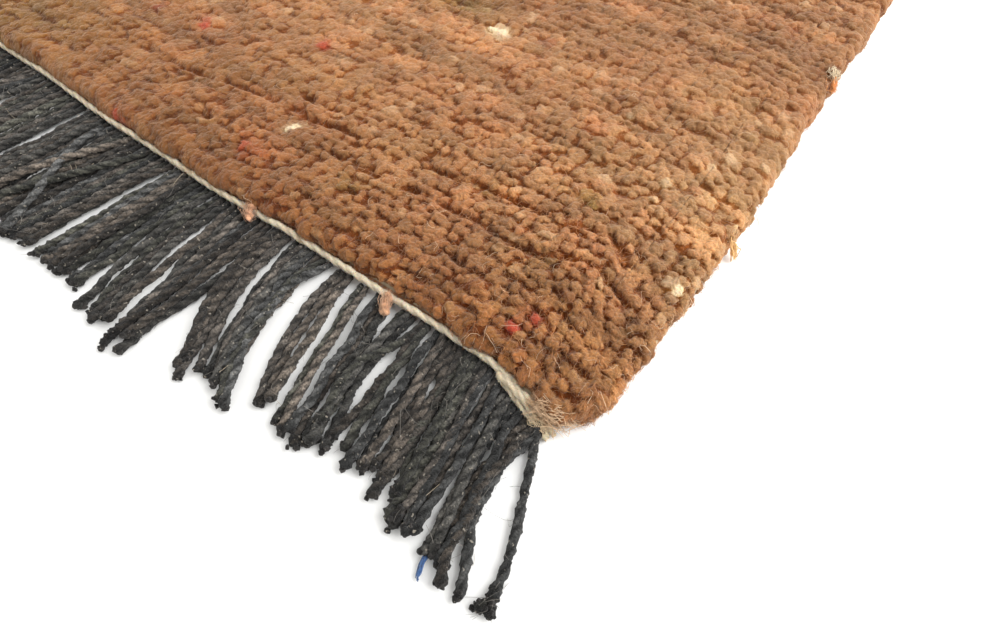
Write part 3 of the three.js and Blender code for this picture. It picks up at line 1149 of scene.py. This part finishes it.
# The lone strand at the corner and strays that lie across the others, as places in millimetres
LONE_STRAND = (
    (284.5, -400.5, 3.5), (286.4, -404.6, 2.4), (289.0, -409.8, 1.7), (292.2, -417.5, 1.5),
    (296.2, -426.8, 1.5), (299.2, -434.8, 1.5), (300.9, -441, 1.5), (301.7, -445.6, 1.6),
)
STRAYS = (
    ((301.5, -443.5, 1.6), (301.4, -445.3, 1.6), (300.8, -447.2, 1.6), (299.9, -449.2, 1.6)),
    ((301.8, -444.0, 1.8), (302.2, -445.8, 1.8), (302.8, -447.4, 1.8), (303.6, -448.8, 1.7)),
    (
        (80, -402, 3.2), (84, -412, 5.8), (90, -424, 6.4),
        (97, -436, 6.2), (101.5, -447, 5.6), (102.5, -453, 4.2),
    ),
    (
        (95, -401, 3.2), (93, -412, 5.8), (88, -424, 6.4),
        (83, -436, 6.0), (80, -446, 4.6), (79, -451, 3.2),
    ),
    (
        (106, -401, 3.0), (104, -412, 5.2), (99, -424, 6.2),
        (92, -436, 6.0), (85, -446, 4.6), (82, -450, 3.0),
    ),
    (
        (239, -401, 3.0), (238.5, -407, 3.4), (236, -412.5, 3.6),
        (233.6, -419, 4.4), (235, -428, 5.2), (239, -438, 4.6),
    ),
    (
        (131, -401, 3.0), (133.5, -408, 5.0), (134.5, -418, 5.4),
        (133, -430, 5.2), (131, -441, 4.4), (131.5, -450, 3.2),
    ),
)


def pass_through(spots, parts):
    """A smooth path through places in millimetres, at parts of its way from 0 to 1."""
    spots = np.array(spots) * MM
    steps = np.linalg.norm(np.diff(spots, axis=0), axis=1)
    knots = np.concatenate([[0], np.cumsum(steps)]) / steps.sum()
    line = np.stack([np.interp(parts, knots, axis) for axis in spots.T], axis=1)
    for _ in range(3):
        line[1:-1] = (line[:-2] + 2 * line[1:-1] + line[2:]) / 4
    return line


def strand_ends():
    """For every strand of the drawn end: its places under the cord, half way and at the tip, its length
    and its layer, and how much room it has at the three places."""
    rows = []
    for shift in (-LOCK_TABLE_SPAN, 0):
        for lock in LOCKS:
            sides, length, count = np.array(lock[:6]) * MM, lock[6] * MM, lock[7]
            left, right = sides[0::2], sides[1::2]
            room = (right - left) / count
            margin = np.minimum(room / 2, STRAND_RADIUS)
            for number in range(count):
                part = number / (count - 1)
                place = left + margin + (right - left - 2 * margin) * part
                place = place + rng.normal(0, STRAND_STRAY)
                reach = length + rng.normal(0, LENGTH_STRAY)
                rows.append((*(place + shift * MM), reach, (number + rng.integers(0, 2)) % 2, *room))
    return np.array(rows)


def strand_paths(ends, points):
    """Strands come out under the cord, lie two deep where they are crowded, and fall to the floor."""
    root, middle, tip, reach, layer, *room = (column[:, None] for column in ends.T)
    t = np.linspace(0, 1, points)[None, :]
    one_each = (len(ends), 1)
    run = t * (reach + STRAND_TUCK) - STRAND_TUCK
    sway = 0
    for width, waves in SWAYS:
        sway = sway + rng.normal(0, width, one_each) * np.sin(TURN * (t * waves + rng.random(one_each)))
    x = bend_through(t, root, middle, tip) + sway * smooth(t, 0, SWAY_FULL)
    y = fringe_line(root) - run
    gap = np.maximum(bend_through(t, *room), SMALLEST_GAP)
    stacked = np.sqrt(np.maximum((2 * STRAND_RADIUS) ** 2 - gap**2, 0)) * STACK_SHARE
    fall_start = FALL_START[0] + FALL_START[1] * rng.random(one_each)
    fallen = smooth(t, fall_start, FALL_END) * smooth(gap, *ALONE_FROM)
    emerged = RISE_UNDER_CORD + (1 - RISE_UNDER_CORD) * smooth(run, -STRAND_TUCK, EMERGED)
    rise = layer * np.minimum(stacked, MOST_STACKED) * (1 - fallen) * emerged
    humps = HUMP_HEIGHT * np.abs(np.sin(TURN * (t * HUMPS + rng.random(one_each))))
    return np.stack([x, y, STRAND_RADIUS + rise + humps], axis=2)


def strand_thickness(lengths):
    """Radius along each strand: slubs, and a frayed knob where it was cut."""
    one_each = (len(lengths), 1)
    whole = lengths[:, -1:]
    even = factors(THICKNESS_SPREAD, one_each)
    slubs = 1 + SLUB_SWELL * np.sin(TURN * (lengths / whole * SLUBS + rng.random(one_each)))
    from_tip = whole - lengths
    near_knob = np.exp(-(((from_tip / KNOB_LENGTH - KNOB_PLACE) / KNOB_REACH) ** 2))
    knob = 1 + rng.uniform(*KNOB_SWELL, one_each) * near_knob
    under_cord = 1 - THINNER * np.exp(-((lengths / THINNER_REACH) ** 2))
    return STRAND_RADIUS * even * slubs * knob * (np.where(from_tip < TINY, LAST_POINT, 1.0) * under_cord)


def strand_tints(lengths):
    """Grey of several kinds, with painted shadow under the cord, and almost black at the cut ends."""
    count = len(lengths)
    tint = np.array(YARN_TINTS)[rng.integers(0, len(YARN_TINTS), count)]
    tint = tint * factors(STRAND_TONE_SPREAD, (count, 1))
    from_tip = lengths[:, -1:] - lengths
    shade = 1 - DARKER_TIP * np.exp(-((from_tip / KNOB_LENGTH) ** 2))
    # Painted shadow where the strand comes out under the cord
    shade = shade - PAINTED_ROOT_SHADOW * np.exp(-((lengths / PAINTED_ROOT_SHADOW_REACH) ** 2))
    return tint[:, None, :] * shade[..., None]


def lumps(centres, length, radius):
    """Short bent yarns round the given places, thickest in the middle: their paths and their thickness."""
    count = len(centres)
    way = unit(rng.normal(0, 1, (count, 1, 3)) * (1, 1, LUMP_FLATNESS))
    bend = rng.normal(0, LUMP_BEND, (count, 1, 3))
    t = np.linspace(-0.5, 0.5, LUMP_POINTS)[None, :, None]
    paths = centres[:, None] + rng.uniform(*length, (count, 1, 1)) * (way * t + bend * t * t)
    thick = np.array(LUMP_SHAPE) * rng.uniform(*radius, (count, 1))
    paths[..., 2] = np.maximum(paths[..., 2], thick)
    return paths, thick


def make_ends(name, growth, material, paths):
    """The felted cut ends: almost black lumps at the tip of each strand."""
    ways = unit(paths[:, -1] - paths[:, -END_WAY_FROM])
    tips = np.repeat(paths[:, -1] - ways * END_LENGTH * MM, END_LUMPS, axis=0)
    along = np.clip(rng.normal(0, END_ALONG, (len(tips), 1)), -END_LENGTH, END_LENGTH)
    along = along * MM * np.repeat(ways, END_LUMPS, axis=0)
    aside = np.clip(rng.normal(0, END_ASIDE, tips.shape), -1, 1) * MM * (1, 1, END_FLATNESS)
    centres = tips + along + aside
    ends, thick = lumps(centres, END_LUMP_LENGTH, END_LUMP_RADIUS)
    tint = CUT_TINT * factors(END_TONE_SPREAD, (len(ends), 1, 1))
    return spin_yarns(name, growth, material, ends, thick, thick * 0, tint, sides=6, waist=0.0)


def make_hairs(growth, material, paths, thick):
    """Fine hairs that curl off the strands."""
    one_each = (HAIR_COUNT, 1)
    strand = rng.integers(0, len(paths), HAIR_COUNT)
    place = rng.integers(4, paths.shape[1] - 2, HAIR_COUNT)
    along = unit(paths[strand, place + 1] - paths[strand, place - 1])
    off = unit(rng.normal(0, 1, (HAIR_COUNT, 3)) + (0, 0, HAIR_UPWARDS))
    way = along * rng.choice((-1, 1), one_each) + off * HAIR_ASIDE
    way = unit(way + rng.normal(0, HAIR_TANGLE, off.shape))
    bend = rng.normal(0, HAIR_BEND, way.shape) - (0, 0, HAIR_DROOP)
    t = np.linspace(0, 1, HAIR_POINTS)[None, :, None]
    start = paths[strand, place] + off * thick[strand, place][:, None] * HAIR_ROOT
    run = way[:, None] * t + bend[:, None] * t * t
    hairs = start[:, None] + rng.uniform(*HAIR_LENGTH, (HAIR_COUNT, 1, 1)) * run
    hairs[..., 2] = np.maximum(hairs[..., 2], HAIR_LOWEST)
    fine = np.repeat(rng.uniform(*HAIR_RADIUS, one_each) * MM, HAIR_POINTS, axis=1)
    tint = np.where(rng.random((HAIR_COUNT, 1, 1)) < PALE_HAIRS, PALE_HAIR, GREY_HAIR)
    tint = tint * factors(HAIR_TONE_SPREAD, (HAIR_COUNT, 1, 1))
    return spin_yarns("fringe_hairs", growth, material, hairs, fine, fine * 0, tint, **FINE_YARN)


def turn_half(paths):
    return paths * (-1, -1, 1)


def warp_finish():
    finish = Finish("charcoal warp")
    tint = finish.attribute("tint", "Color")
    groove = finish.attribute("groove", "Fac")
    place = finish.object_place()
    hairs = finish.noise(place, 1300, 3.0, 0.7)
    blend_of_wool = finish.noise(place, 200, 2.0)
    neps = finish.between(finish.noise(place, 900, 1.0), 0.68, 0.76)
    shade = finish.between(hairs, 0.32, 0.68, 0.45, 1.75)
    shade = shade * finish.between(blend_of_wool, 0.3, 0.7, 0.55, 1.5)
    # Painted shade: darker in the groove between the two plies
    shade = shade * finish.between(groove, 0.25, 1.0, 1.05, 0.25)
    colour = finish.mix(neps * 0.6, finish.shaded(tint, shade), tuple(linear(196, 186, 170)))
    return finish.surface(colour, hairs, 1.4 * MM, sheen=0.12)


def make_fringe():
    growth, material = yarn_growth(), warp_finish()
    ends = strand_ends()
    paths = strand_paths(ends, CLOSE_POINTS)
    parts = np.linspace(0, 1, CLOSE_POINTS)
    strays = [pass_through(spots, parts) for spots in (LONE_STRAND, *STRAYS)]
    paths = np.concatenate([paths, strays])
    count = len(paths)
    lengths = lengths_along(paths)
    thick = strand_thickness(lengths)
    paths[..., 2] = np.maximum(paths[..., 2], thick)
    pitch = PLY_TURN * factors(PLY_TURN_SPREAD, (count, 1))
    twist = TURN * (lengths / pitch + rng.random((count, 1)))
    tint = strand_tints(lengths)
    place = (paths[:, 0, 0] / (LOCK_TABLE_SPAN * MM) + 1) / 2
    section = np.clip((place * SECTIONS).astype(int), 0, SECTIONS - 1)
    seen = in_picture(paths[:, 0], STRAND_MARGIN) | in_picture(paths[:, -1], STRAND_MARGIN)
    keep = np.linspace(0, CLOSE_POINTS - 1, FAR_POINTS).round().astype(int)
    pieces = [make_hairs(growth, fibre_finish(), paths[seen], thick[seen])]

    def spin_far(name, chosen, whole):
        if chosen.any():
            sparse = (part[chosen][:, keep] for part in (whole, thick, twist * 0, tint))
            pieces.append(spin_yarns(name, growth, material, *sparse, sides=FAR_SIDES, waist=0.12))

    for number in range(SECTIONS):
        close = (section == number) & seen
        label = number + 1
        if close.any():
            own = (part[close] for part in (paths, thick, twist, tint))
            pieces.append(spin_yarns(f"fringe_front_close_{label}", growth, material, *own))
            pieces.append(make_ends(f"cut_ends_{label}", growth, material, paths[close]))
        spin_far(f"fringe_front_far_{label}", (section == number) & ~seen, paths)
    for number in range(SECTIONS):
        spin_far(f"fringe_back_far_{number + 1}", section == number, turn_half(paths))
    return pieces


# The cream weft cords

CORD_RADIUS = 1.3 * MM
CORD_STEP = 1.0 * MM
CORD_TURN = 11.0 * MM
CORD_HEIGHT = 3.9 * MM
CORD_STOP = 23 * MM
CORD_SWELL = 0.25
CORD_SWELLS_FROM = (44 * MM, 26 * MM)
CORD_TINT = linear(240, 224, 196)

# How the cord sags, lifts and is uneven along its way: how much, and the level and scales of its noise
CORD_SAG = (0.35 * MM, (21, 90, 0))
CORD_LIFT = (0.5 * MM, (24, 70, 0))
CORD_UNEVEN = (0.2, (27, 160, 0))

# Yarns of the cord that open out at the worn corner, as places in millimetres
CORNER_YARNS = (
    (
        (268, -397.6, 3.9), (273, -398.8, 4.6), (278, -400.2, 4.4),
        (283, -401.8, 3.6), (287, -403.0, 2.4), (289.5, -404, 1.2),
    ),
    (
        (268, -397.4, 3.0), (274, -398.6, 3.0), (279.5, -399.2, 4.8),
        (284, -400.4, 4.6), (288, -401.6, 3.0), (291, -403, 1.3),
    ),
    (
        (269, -397.9, 3.2), (275, -400.0, 2.8), (280, -402.0, 2.6),
        (284.5, -403.6, 2.0), (288, -404.4, 1.4), (290, -404.8, 1.1),
    ),
)
CORNER_POINTS = 22
CORNER_TAPER = 0.35
CORNER_UNEVEN = 0.12
CORNER_TINT = linear(234, 216, 186)


def cream_finish():
    finish = Finish("cream weft")
    tint = finish.attribute("tint", "Color")
    groove = finish.attribute("groove", "Fac")
    place = finish.object_place()
    hairs = finish.noise(place, 1400, 3.0, 0.6)
    stain = finish.noise(place, 120, 2.0)
    colour = finish.mix(finish.between(stain, 0.5, 0.75, 0.0, 0.5), tint, tuple(linear(176, 140, 100)))
    # The yarn's own speckle, and painted shade in the groove between the two plies
    shade = finish.between(hairs, 0.25, 0.75, 0.82, 1.12) * finish.between(groove, 0.3, 1.0, 1.0, 0.74)
    return finish.surface(finish.shaded(colour, shade), hairs, 1.0 * MM, sheen=0.3, wool=True)


def make_corner_yarns(growth, material):
    parts = np.linspace(0, 1, CORNER_POINTS)
    paths = np.array([pass_through(spots, parts) for spots in CORNER_YARNS])
    lengths = lengths_along(paths)
    uneven = 1 + CORNER_UNEVEN * rng.normal(0, 1, (len(paths), len(parts)))
    thick = CORD_RADIUS * (1 - CORNER_TAPER * parts**2) * uneven
    twist = TURN * lengths / CORD_TURN + rng.random((len(paths), 1)) * TURN
    paths = np.concatenate([paths, turn_half(paths)])
    thick, twist = np.tile(thick, (2, 1)), np.tile(twist, (2, 1))
    return spin_yarns("corner_yarns", growth, material, paths, thick, twist, CORNER_TINT, rough=0.0003)


def make_cords():
    growth, material = yarn_growth(), cream_finish()
    left, right = CORNER_ALONG_END / 2 - HALF_WIDTH, HALF_WIDTH - CORD_STOP
    x = np.linspace(left, right, round((right - left) / CORD_STEP))
    kinds = (CORD_SAG, CORD_LIFT, CORD_UNEVEN)
    sag, lift, uneven = (size * steady(x, x * 0, *kind) for size, kind in kinds)
    path = np.stack([x, cord_line(x) + sag, CORD_HEIGHT + lift], axis=1)[None]
    swell = CORD_SWELL * smooth(x - HALF_WIDTH, -CORD_SWELLS_FROM[0], -CORD_SWELLS_FROM[1])
    thick = CORD_RADIUS * (1 + uneven + swell)[None]
    twist = TURN * lengths_along(path) / CORD_TURN
    sizes = {"slender": 0.02, "waist": 0.2, "rough": 0.00014}
    corners = make_corner_yarns(growth, material)
    cords = {}
    for end, line in (("front", path), ("back", turn_half(path))):
        made = spin_yarns(f"{end}_weft_cord", growth, material, line, thick, twist, CORD_TINT, **sizes)
        cords[f"weft_cord_{end}"] = made
    return corners, cords


# Loose wool: fibres that curl over the pile and its rim, tufts that hang over the cord, the frayed corner

FIBRE_POINTS = 6
FIBRE_TRIES = 50000
FIBRE_COUNT = 4000
RIM_FIBRE_COUNT = 260
FIBRE_RADIUS = (0.035, 0.07)
PALE_FIBRE = linear(232, 200, 166)
SHORTEST_FIBRE = 3
FIBRE_BEND = 1.8
FIBRE_WAVE = 0.9
FIBRE_LIFT = 0.05 * MM
FIBRE_LOWEST = 0.3 * MM
FIBRE_LIGHTER = 1.3
FIBRE_TONE_SPREAD = 0.18

# Each kind of fibre on the pile: the longest in millimetres, how far they stand off, and the share of pale
# ones
FIBRE_KINDS = (("pile_fibres", 6.0, 0.35, 0.04), ("rim_fibres", 7.5, 0.8, 0.2))

# Where loose fibres lie: how much of the spread-out pile is tried, the share of tries that felted pile
# keeps, how far they reach along the side and the end, how far inside the rim in millimetres, and the share
# of rim fibres at the end
TRIED_FROM = (-0.4, -1)
TRIED_TO = (1, -0.2)
FELTED_SHARE = 0.04
ALONG_SIDE = 330 * MM
ALONG_END = 90 * MM
INSIDE_SIDE = (1, 9)
INSIDE_END = (3, 9)
FRONT_SHARE = 0.2
FIBRE_MARGIN = 20

# Locks of loose wool: from and to where in millimetres, how far they spread at the two ends, how far they
# tangle, how many fibres, their radius and their tint
WISPS = (
    ((284.5, -400.5, 6.0), (292.0, -398.0, 5.0), 1.4, 1.6, 0.75, 190, 0.11, linear(218, 184, 148)),
    ((284, -402.2, 3.6), (288.6, -402.8, 1.8), 0.9, 0.9, 0.6, 70, 0.12, linear(226, 202, 166)),
    ((281, -399.6, 5.8), (290, -400.4, 4.0), 1.1, 1.3, 0.7, 90, 0.11, linear(208, 170, 132)),
    ((225.5, -396.8, 6.8), (228.0, -401.4, 5.0), 1.0, 0.8, 0.25, 60, 0.06, linear(214, 170, 136)),
    ((161.0, -396.8, 6.2), (165.0, -400.2, 4.6), 1.0, 0.8, 0.25, 60, 0.06, linear(208, 162, 128)),
    ((297.2, -209.5, 7.4), (300.6, -214.0, 5.4), 0.8, 0.8, 0.4, 40, 0.13, linear(236, 160, 96)),
    ((295.5, -206.5, 9.4), (298.4, -211.5, 8.2), 0.8, 0.8, 0.5, 30, 0.13, linear(240, 220, 186)),
    ((300.2, -312.5, 5.6), (303.8, -316.0, 1.6), 0.5, 0.6, 0.4, 18, 0.24, linear(240, 196, 136)),
    ((283.0, -446.0, 1.6), (284.7, -452.4, 0.9), 0.35, 0.25, 0.2, 10, 0.24, linear(66, 98, 146)),
)

# How the fibres of one lock differ, and how high they bulge in millimetres
LOCK_RADIUS_SPREAD = (0.6, 1.2)
LOCK_TONE_SPREAD = 0.14
LOCK_BULGE = 0.6
LOCK_LOWEST = 0.3

# Clumps of pile wool that hang over the cord: from and to where in millimetres, how many lumps, and their
# tint
CLUMPS = (
    ((225.6, -396.6, 6.4), (228.2, -401.6, 4.8), 18, linear(196, 150, 116)),
    ((161.2, -396.4, 6.0), (165.0, -399.8, 4.8), 14, linear(190, 142, 110)),
)
CLUMP_SPREAD = 0.6
CLUMP_TONE_SPREAD = 0.15
CLUMP_LUMP_LENGTH = (1.0 * MM, 1.8 * MM)
CLUMP_LUMP_RADIUS = (0.85 * MM, 1.2 * MM)


def fibre_finish():
    finish = Finish("loose wool")
    tint = finish.attribute("tint", "Color")
    fuzz = finish.noise(finish.object_place(), FUZZ_SCALE, 2.0)
    colour = finish.shaded(tint, finish.between(fuzz, 0.3, 0.7, 0.85, 1.12))
    return finish.surface(colour, fuzz, 0.2 * MM, sheen=0.3)


def curls(x, y, length, bend, points):
    """Flat paths that curl one way or the other about the given places."""
    t = np.linspace(-0.5, 0.5, points)
    count = len(x)
    way = rng.random((count, 1)) * TURN + bend[:, None] * t
    way = way + rng.normal(0, FIBRE_WAVE, (count, 1)) * np.sin(TURN * (t + rng.random((count, 1))))
    step = (length / (points - 1))[:, None]
    run = np.stack([np.cumsum(np.cos(way) * step, axis=1), np.cumsum(np.sin(way) * step, axis=1)], axis=2)
    run -= run.mean(axis=1, keepdims=True)
    return np.stack([x, y], axis=1)[:, None] + run


def lay_on_pile(flat, lift, lobes, tints):
    """Lays paths of the spread-out sheet over the tops of the knots, with a lift at each point, and says
    what colour the wool is in the middle of each."""
    x, y = flat.reshape(-1, 2).T
    height, shift, tint, _ = relief(x, y, lobes, tints)
    height = height.reshape(lift.shape)
    height = np.maximum(height, height.mean(axis=1, keepdims=True)) + lift
    base, out = fold(x + shift[:, 0], y + shift[:, 1])
    places = base + out * (height.ravel() + RIM_INSET)[:, None]
    places[:, 2] = np.maximum(places[:, 2], FIBRE_LOWEST)
    return places.reshape(*lift.shape, 3), tint.reshape(*lift.shape, 3)[:, lift.shape[1] // 2]


def scatter(on_rim):
    """Places of the spread-out sheet for loose fibres: most where the pile is loose, or along its rim."""
    if on_rim:
        count, tries = RIM_FIBRE_COUNT, RIM_FIBRE_COUNT * 4
        along = rng.random(tries) ** 2 * ALONG_SIDE - SPREAD_HALF_LENGTH
        across = SPREAD_HALF_WIDTH - rng.uniform(*INSIDE_SIDE, tries) * MM
        front = rng.random(tries) < FRONT_SHARE
        far = SPREAD_HALF_WIDTH - rng.random(tries) ** 2 * ALONG_END
        x = np.where(front, far, across)
        y = np.where(front, rng.uniform(*INSIDE_END, tries) * MM - SPREAD_HALF_LENGTH, along)
    else:
        count = FIBRE_COUNT
        x = rng.uniform(TRIED_FROM[0], TRIED_TO[0], FIBRE_TRIES) * SPREAD_HALF_WIDTH
        y = rng.uniform(TRIED_FROM[1], TRIED_TO[1], FIBRE_TRIES) * SPREAD_HALF_LENGTH
        kept = rng.random(FIBRE_TRIES) < by_looseness(FELTED_SHARE, 1, looseness(x, y) ** 3)
        x, y = x[kept], y[kept]
    places, _ = fold(x, y)
    seen = in_picture(places, FIBRE_MARGIN)
    return x[seen][:count], y[seen][:count]


def wisp_paths(start, finish, near, far, tangle, count):
    """Fibres of one lock, from near its start to near its finish, bulging a little out of the way."""
    start = np.array(start) + rng.normal(0, near, (count, 3)) * (1, 1, 0.7)
    finish = np.array(finish) + rng.normal(0, far, (count, 3)) * (1, 1, 0.6)
    middle = (start + finish) / 2 + rng.normal(0, near, (count, 3)) + (0, 0, LOCK_BULGE)
    t = np.linspace(0, 1, FIBRE_POINTS)[None, :, None]
    spots = bend_through(t, *(part[:, None] for part in (start, middle, finish)))
    spots += rng.normal(0, tangle, spots.shape)
    spots[..., 2] = np.maximum(spots[..., 2], LOCK_LOWEST)
    return spots * MM


def make_clumps(growth, material):
    centres, tints = [], []
    for start, finish, count, colour in CLUMPS:
        part = rng.random((count, 1))
        spots = np.array(start) * (1 - part) + np.array(finish) * part
        spots = spots + rng.normal(0, CLUMP_SPREAD, (count, 3)) * (1, 1, 0.5)
        centres.append(spots * MM)
        tints.append(colour * factors(CLUMP_TONE_SPREAD, (count, 1)))
    paths, thick = lumps(np.concatenate(centres), CLUMP_LUMP_LENGTH, CLUMP_LUMP_RADIUS)
    tint = np.concatenate(tints)[:, None]
    sizes = {"waist": 0.0, "rough": 0.0003}
    return spin_yarns("wool_clumps", growth, material, paths, thick, thick * 0, tint, **sizes)


def make_loose_wool(lobes, tints):
    growth, material = yarn_growth(), fibre_finish()
    arch = np.sin(math.pi * np.linspace(0, 1, FIBRE_POINTS))
    groups = {}
    for name, longest, lifted, pale in FIBRE_KINDS:
        x, y = scatter(name == "rim_fibres")
        one_each = (len(x), 1)
        length = rng.uniform(SHORTEST_FIBRE, longest, len(x)) * MM
        flat = curls(x, y, length, rng.normal(0, FIBRE_BEND, len(x)), FIBRE_POINTS)
        lift = FIBRE_LIFT + np.abs(rng.normal(0, lifted, one_each)) * MM * arch
        paths, wool = lay_on_pile(flat, lift, lobes, tints)
        thick = np.repeat(rng.uniform(*FIBRE_RADIUS, one_each) * MM, FIBRE_POINTS, axis=1)
        tint = np.where(rng.random(one_each) < pale, PALE_FIBRE, wool * FIBRE_LIGHTER)
        groups[name] = (paths, thick, tint * factors(FIBRE_TONE_SPREAD, one_each))
    tufts = []
    for start, finish, near, far, tangle, count, radius, colour in WISPS:
        paths = wisp_paths(start, finish, near, far, tangle, count)
        thick = rng.uniform(*LOCK_RADIUS_SPREAD, (count, 1)) * radius * MM * (0.5 + 0.5 * arch)
        tufts.append((paths, thick, colour * factors(LOCK_TONE_SPREAD, (count, 1))))
    groups["loose_tufts"] = tuple(np.concatenate(parts) for parts in zip(*tufts))
    pieces = [make_clumps(growth, material)]
    for name, (paths, thick, tint) in groups.items():
        fine = {**FINE_YARN, "slender": 5.0}
        pieces.append(spin_yarns(name, growth, material, paths, thick, thick * 0, tint[:, None], **fine))
    return pieces


# The woven slab that the knots are tied in

SLAB_COLUMNS = 30
SLAB_ROWS = 40
SLAB_INSIDE = WALL_RISE + 1 * MM


def slab_finish():
    finish = Finish("knotted back")
    place = finish.object_place()
    knots = finish.scaled(place, 1 / KNOT_PITCH)
    weft = (finish.axis(knots, 1) * TURN).math("SINE") * 0.5 + 0.5
    warp = (finish.axis(knots, 0) * TURN * 2).math("SINE") * 0.5 + 0.5
    wool = finish.mix(finish.noise(place, 60, 3.0), tuple(TAN * 0.8), tuple(TERRACOTTA * 0.8))
    colour = finish.mix(finish.between(weft, 0.0, 0.3, 1.0, 0.0), wool, tuple(CREAM * 0.7))
    return finish.surface(colour, weft * (warp * 0.6 + 0.4), 1.2 * MM)


def make_slab():
    """A closed slab on a grid of the rug's own curves, a little inside the pile."""
    across = np.linspace(-1, 1, SLAB_COLUMNS + 1) * (SPREAD_HALF_WIDTH - SLAB_INSIDE)
    along = np.linspace(-1, 1, SLAB_ROWS + 1) * (SPREAD_HALF_LENGTH - SLAB_INSIDE)
    grid_across, grid_along = np.meshgrid(across, along)
    number = np.arange(grid_across.size).reshape(grid_across.shape)
    places, _ = fold(grid_across.ravel(), grid_along.ravel())
    low, high = places * (1, 1, 0), places * (1, 1, 0) + (0, 0, SLAB_HEIGHT)
    squares, rim = squares_of(number), ring_of(number)
    after = np.roll(rim, -1)
    walls = np.stack([rim, after, after + number.size, rim + number.size], axis=-1)
    faces = np.concatenate([squares[:, ::-1], squares + number.size, walls])
    mesh = bpy.data.meshes.new("woven_slab")
    mesh.from_pydata(np.concatenate([low, high]).tolist(), [], faces.tolist())
    mesh.materials.append(slab_finish())
    slab = bpy.data.objects.new("woven_slab", mesh)
    bpy.context.scene.collection.objects.link(slab)
    return slab


# The floor and the studio light

FLOOR_HALF = 3.0
FLOOR_DROP = 0.2 * MM
FLOOR_COLOUR = (0.93, 0.93, 0.92, 1)
SKY_COLOUR = (1.0, 0.99, 0.97, 1)
SKY_STRENGTH = 0.9
LAMP_PLACE = Vector((0.95, 0.05, 0.85))
LAMP_AIM = Vector((0.2, -0.3, 0))
LAMP_SIZE = 0.9
LAMP_WATTS = 15


def make_stage():
    half = FLOOR_HALF
    mesh = bpy.data.meshes.new("floor")
    corners = [(-half, -half, 0), (half, -half, 0), (half, half, 0), (-half, half, 0)]
    mesh.from_pydata(corners, [], [(0, 1, 2, 3)])
    paper = bpy.data.materials.new("pale floor")
    paper.use_nodes = True
    surface = paper.node_tree.nodes["Principled BSDF"]
    surface.inputs["Base Color"].default_value = FLOOR_COLOUR
    surface.inputs["Roughness"].default_value = 0.9
    mesh.materials.append(paper)
    floor = bpy.data.objects.new("floor", mesh)
    floor.location.z = -FLOOR_DROP
    bpy.context.scene.collection.objects.link(floor)


def make_light():
    world = bpy.data.worlds.new("studio")
    world.use_nodes = True
    sky = world.node_tree.nodes["Background"]
    sky.inputs["Color"].default_value = SKY_COLOUR
    sky.inputs["Strength"].default_value = SKY_STRENGTH
    bpy.context.scene.world = world
    data = bpy.data.lights.new("softbox", "AREA")
    data.size = LAMP_SIZE
    data.energy = LAMP_WATTS
    lamp = bpy.data.objects.new("softbox", data)
    lamp.location = LAMP_PLACE
    lamp.rotation_euler = (LAMP_AIM - LAMP_PLACE).to_track_quat("-Z", "Y").to_euler()
    bpy.context.scene.collection.objects.link(lamp)
    bpy.context.scene.view_settings.view_transform = "Standard"


make_camera()
make_stage()
make_light()
slab = make_slab()
lobes, tints = tie_knots()
pile = make_pile(lobes, tints)
fringe = make_fringe()
corner_yarns, cords = make_cords()
loose = make_loose_wool(lobes, tints)

for piece in (slab, *pile, *loose):
    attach(piece, "root")
for piece in fringe:
    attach(piece, "root")
    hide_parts("fringe_back" if "back" in piece.name else "fringe_front")
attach(corner_yarns, "root")
for node, piece in cords.items():
    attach(piece, "root")
    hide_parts(node)
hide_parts("rug_body")
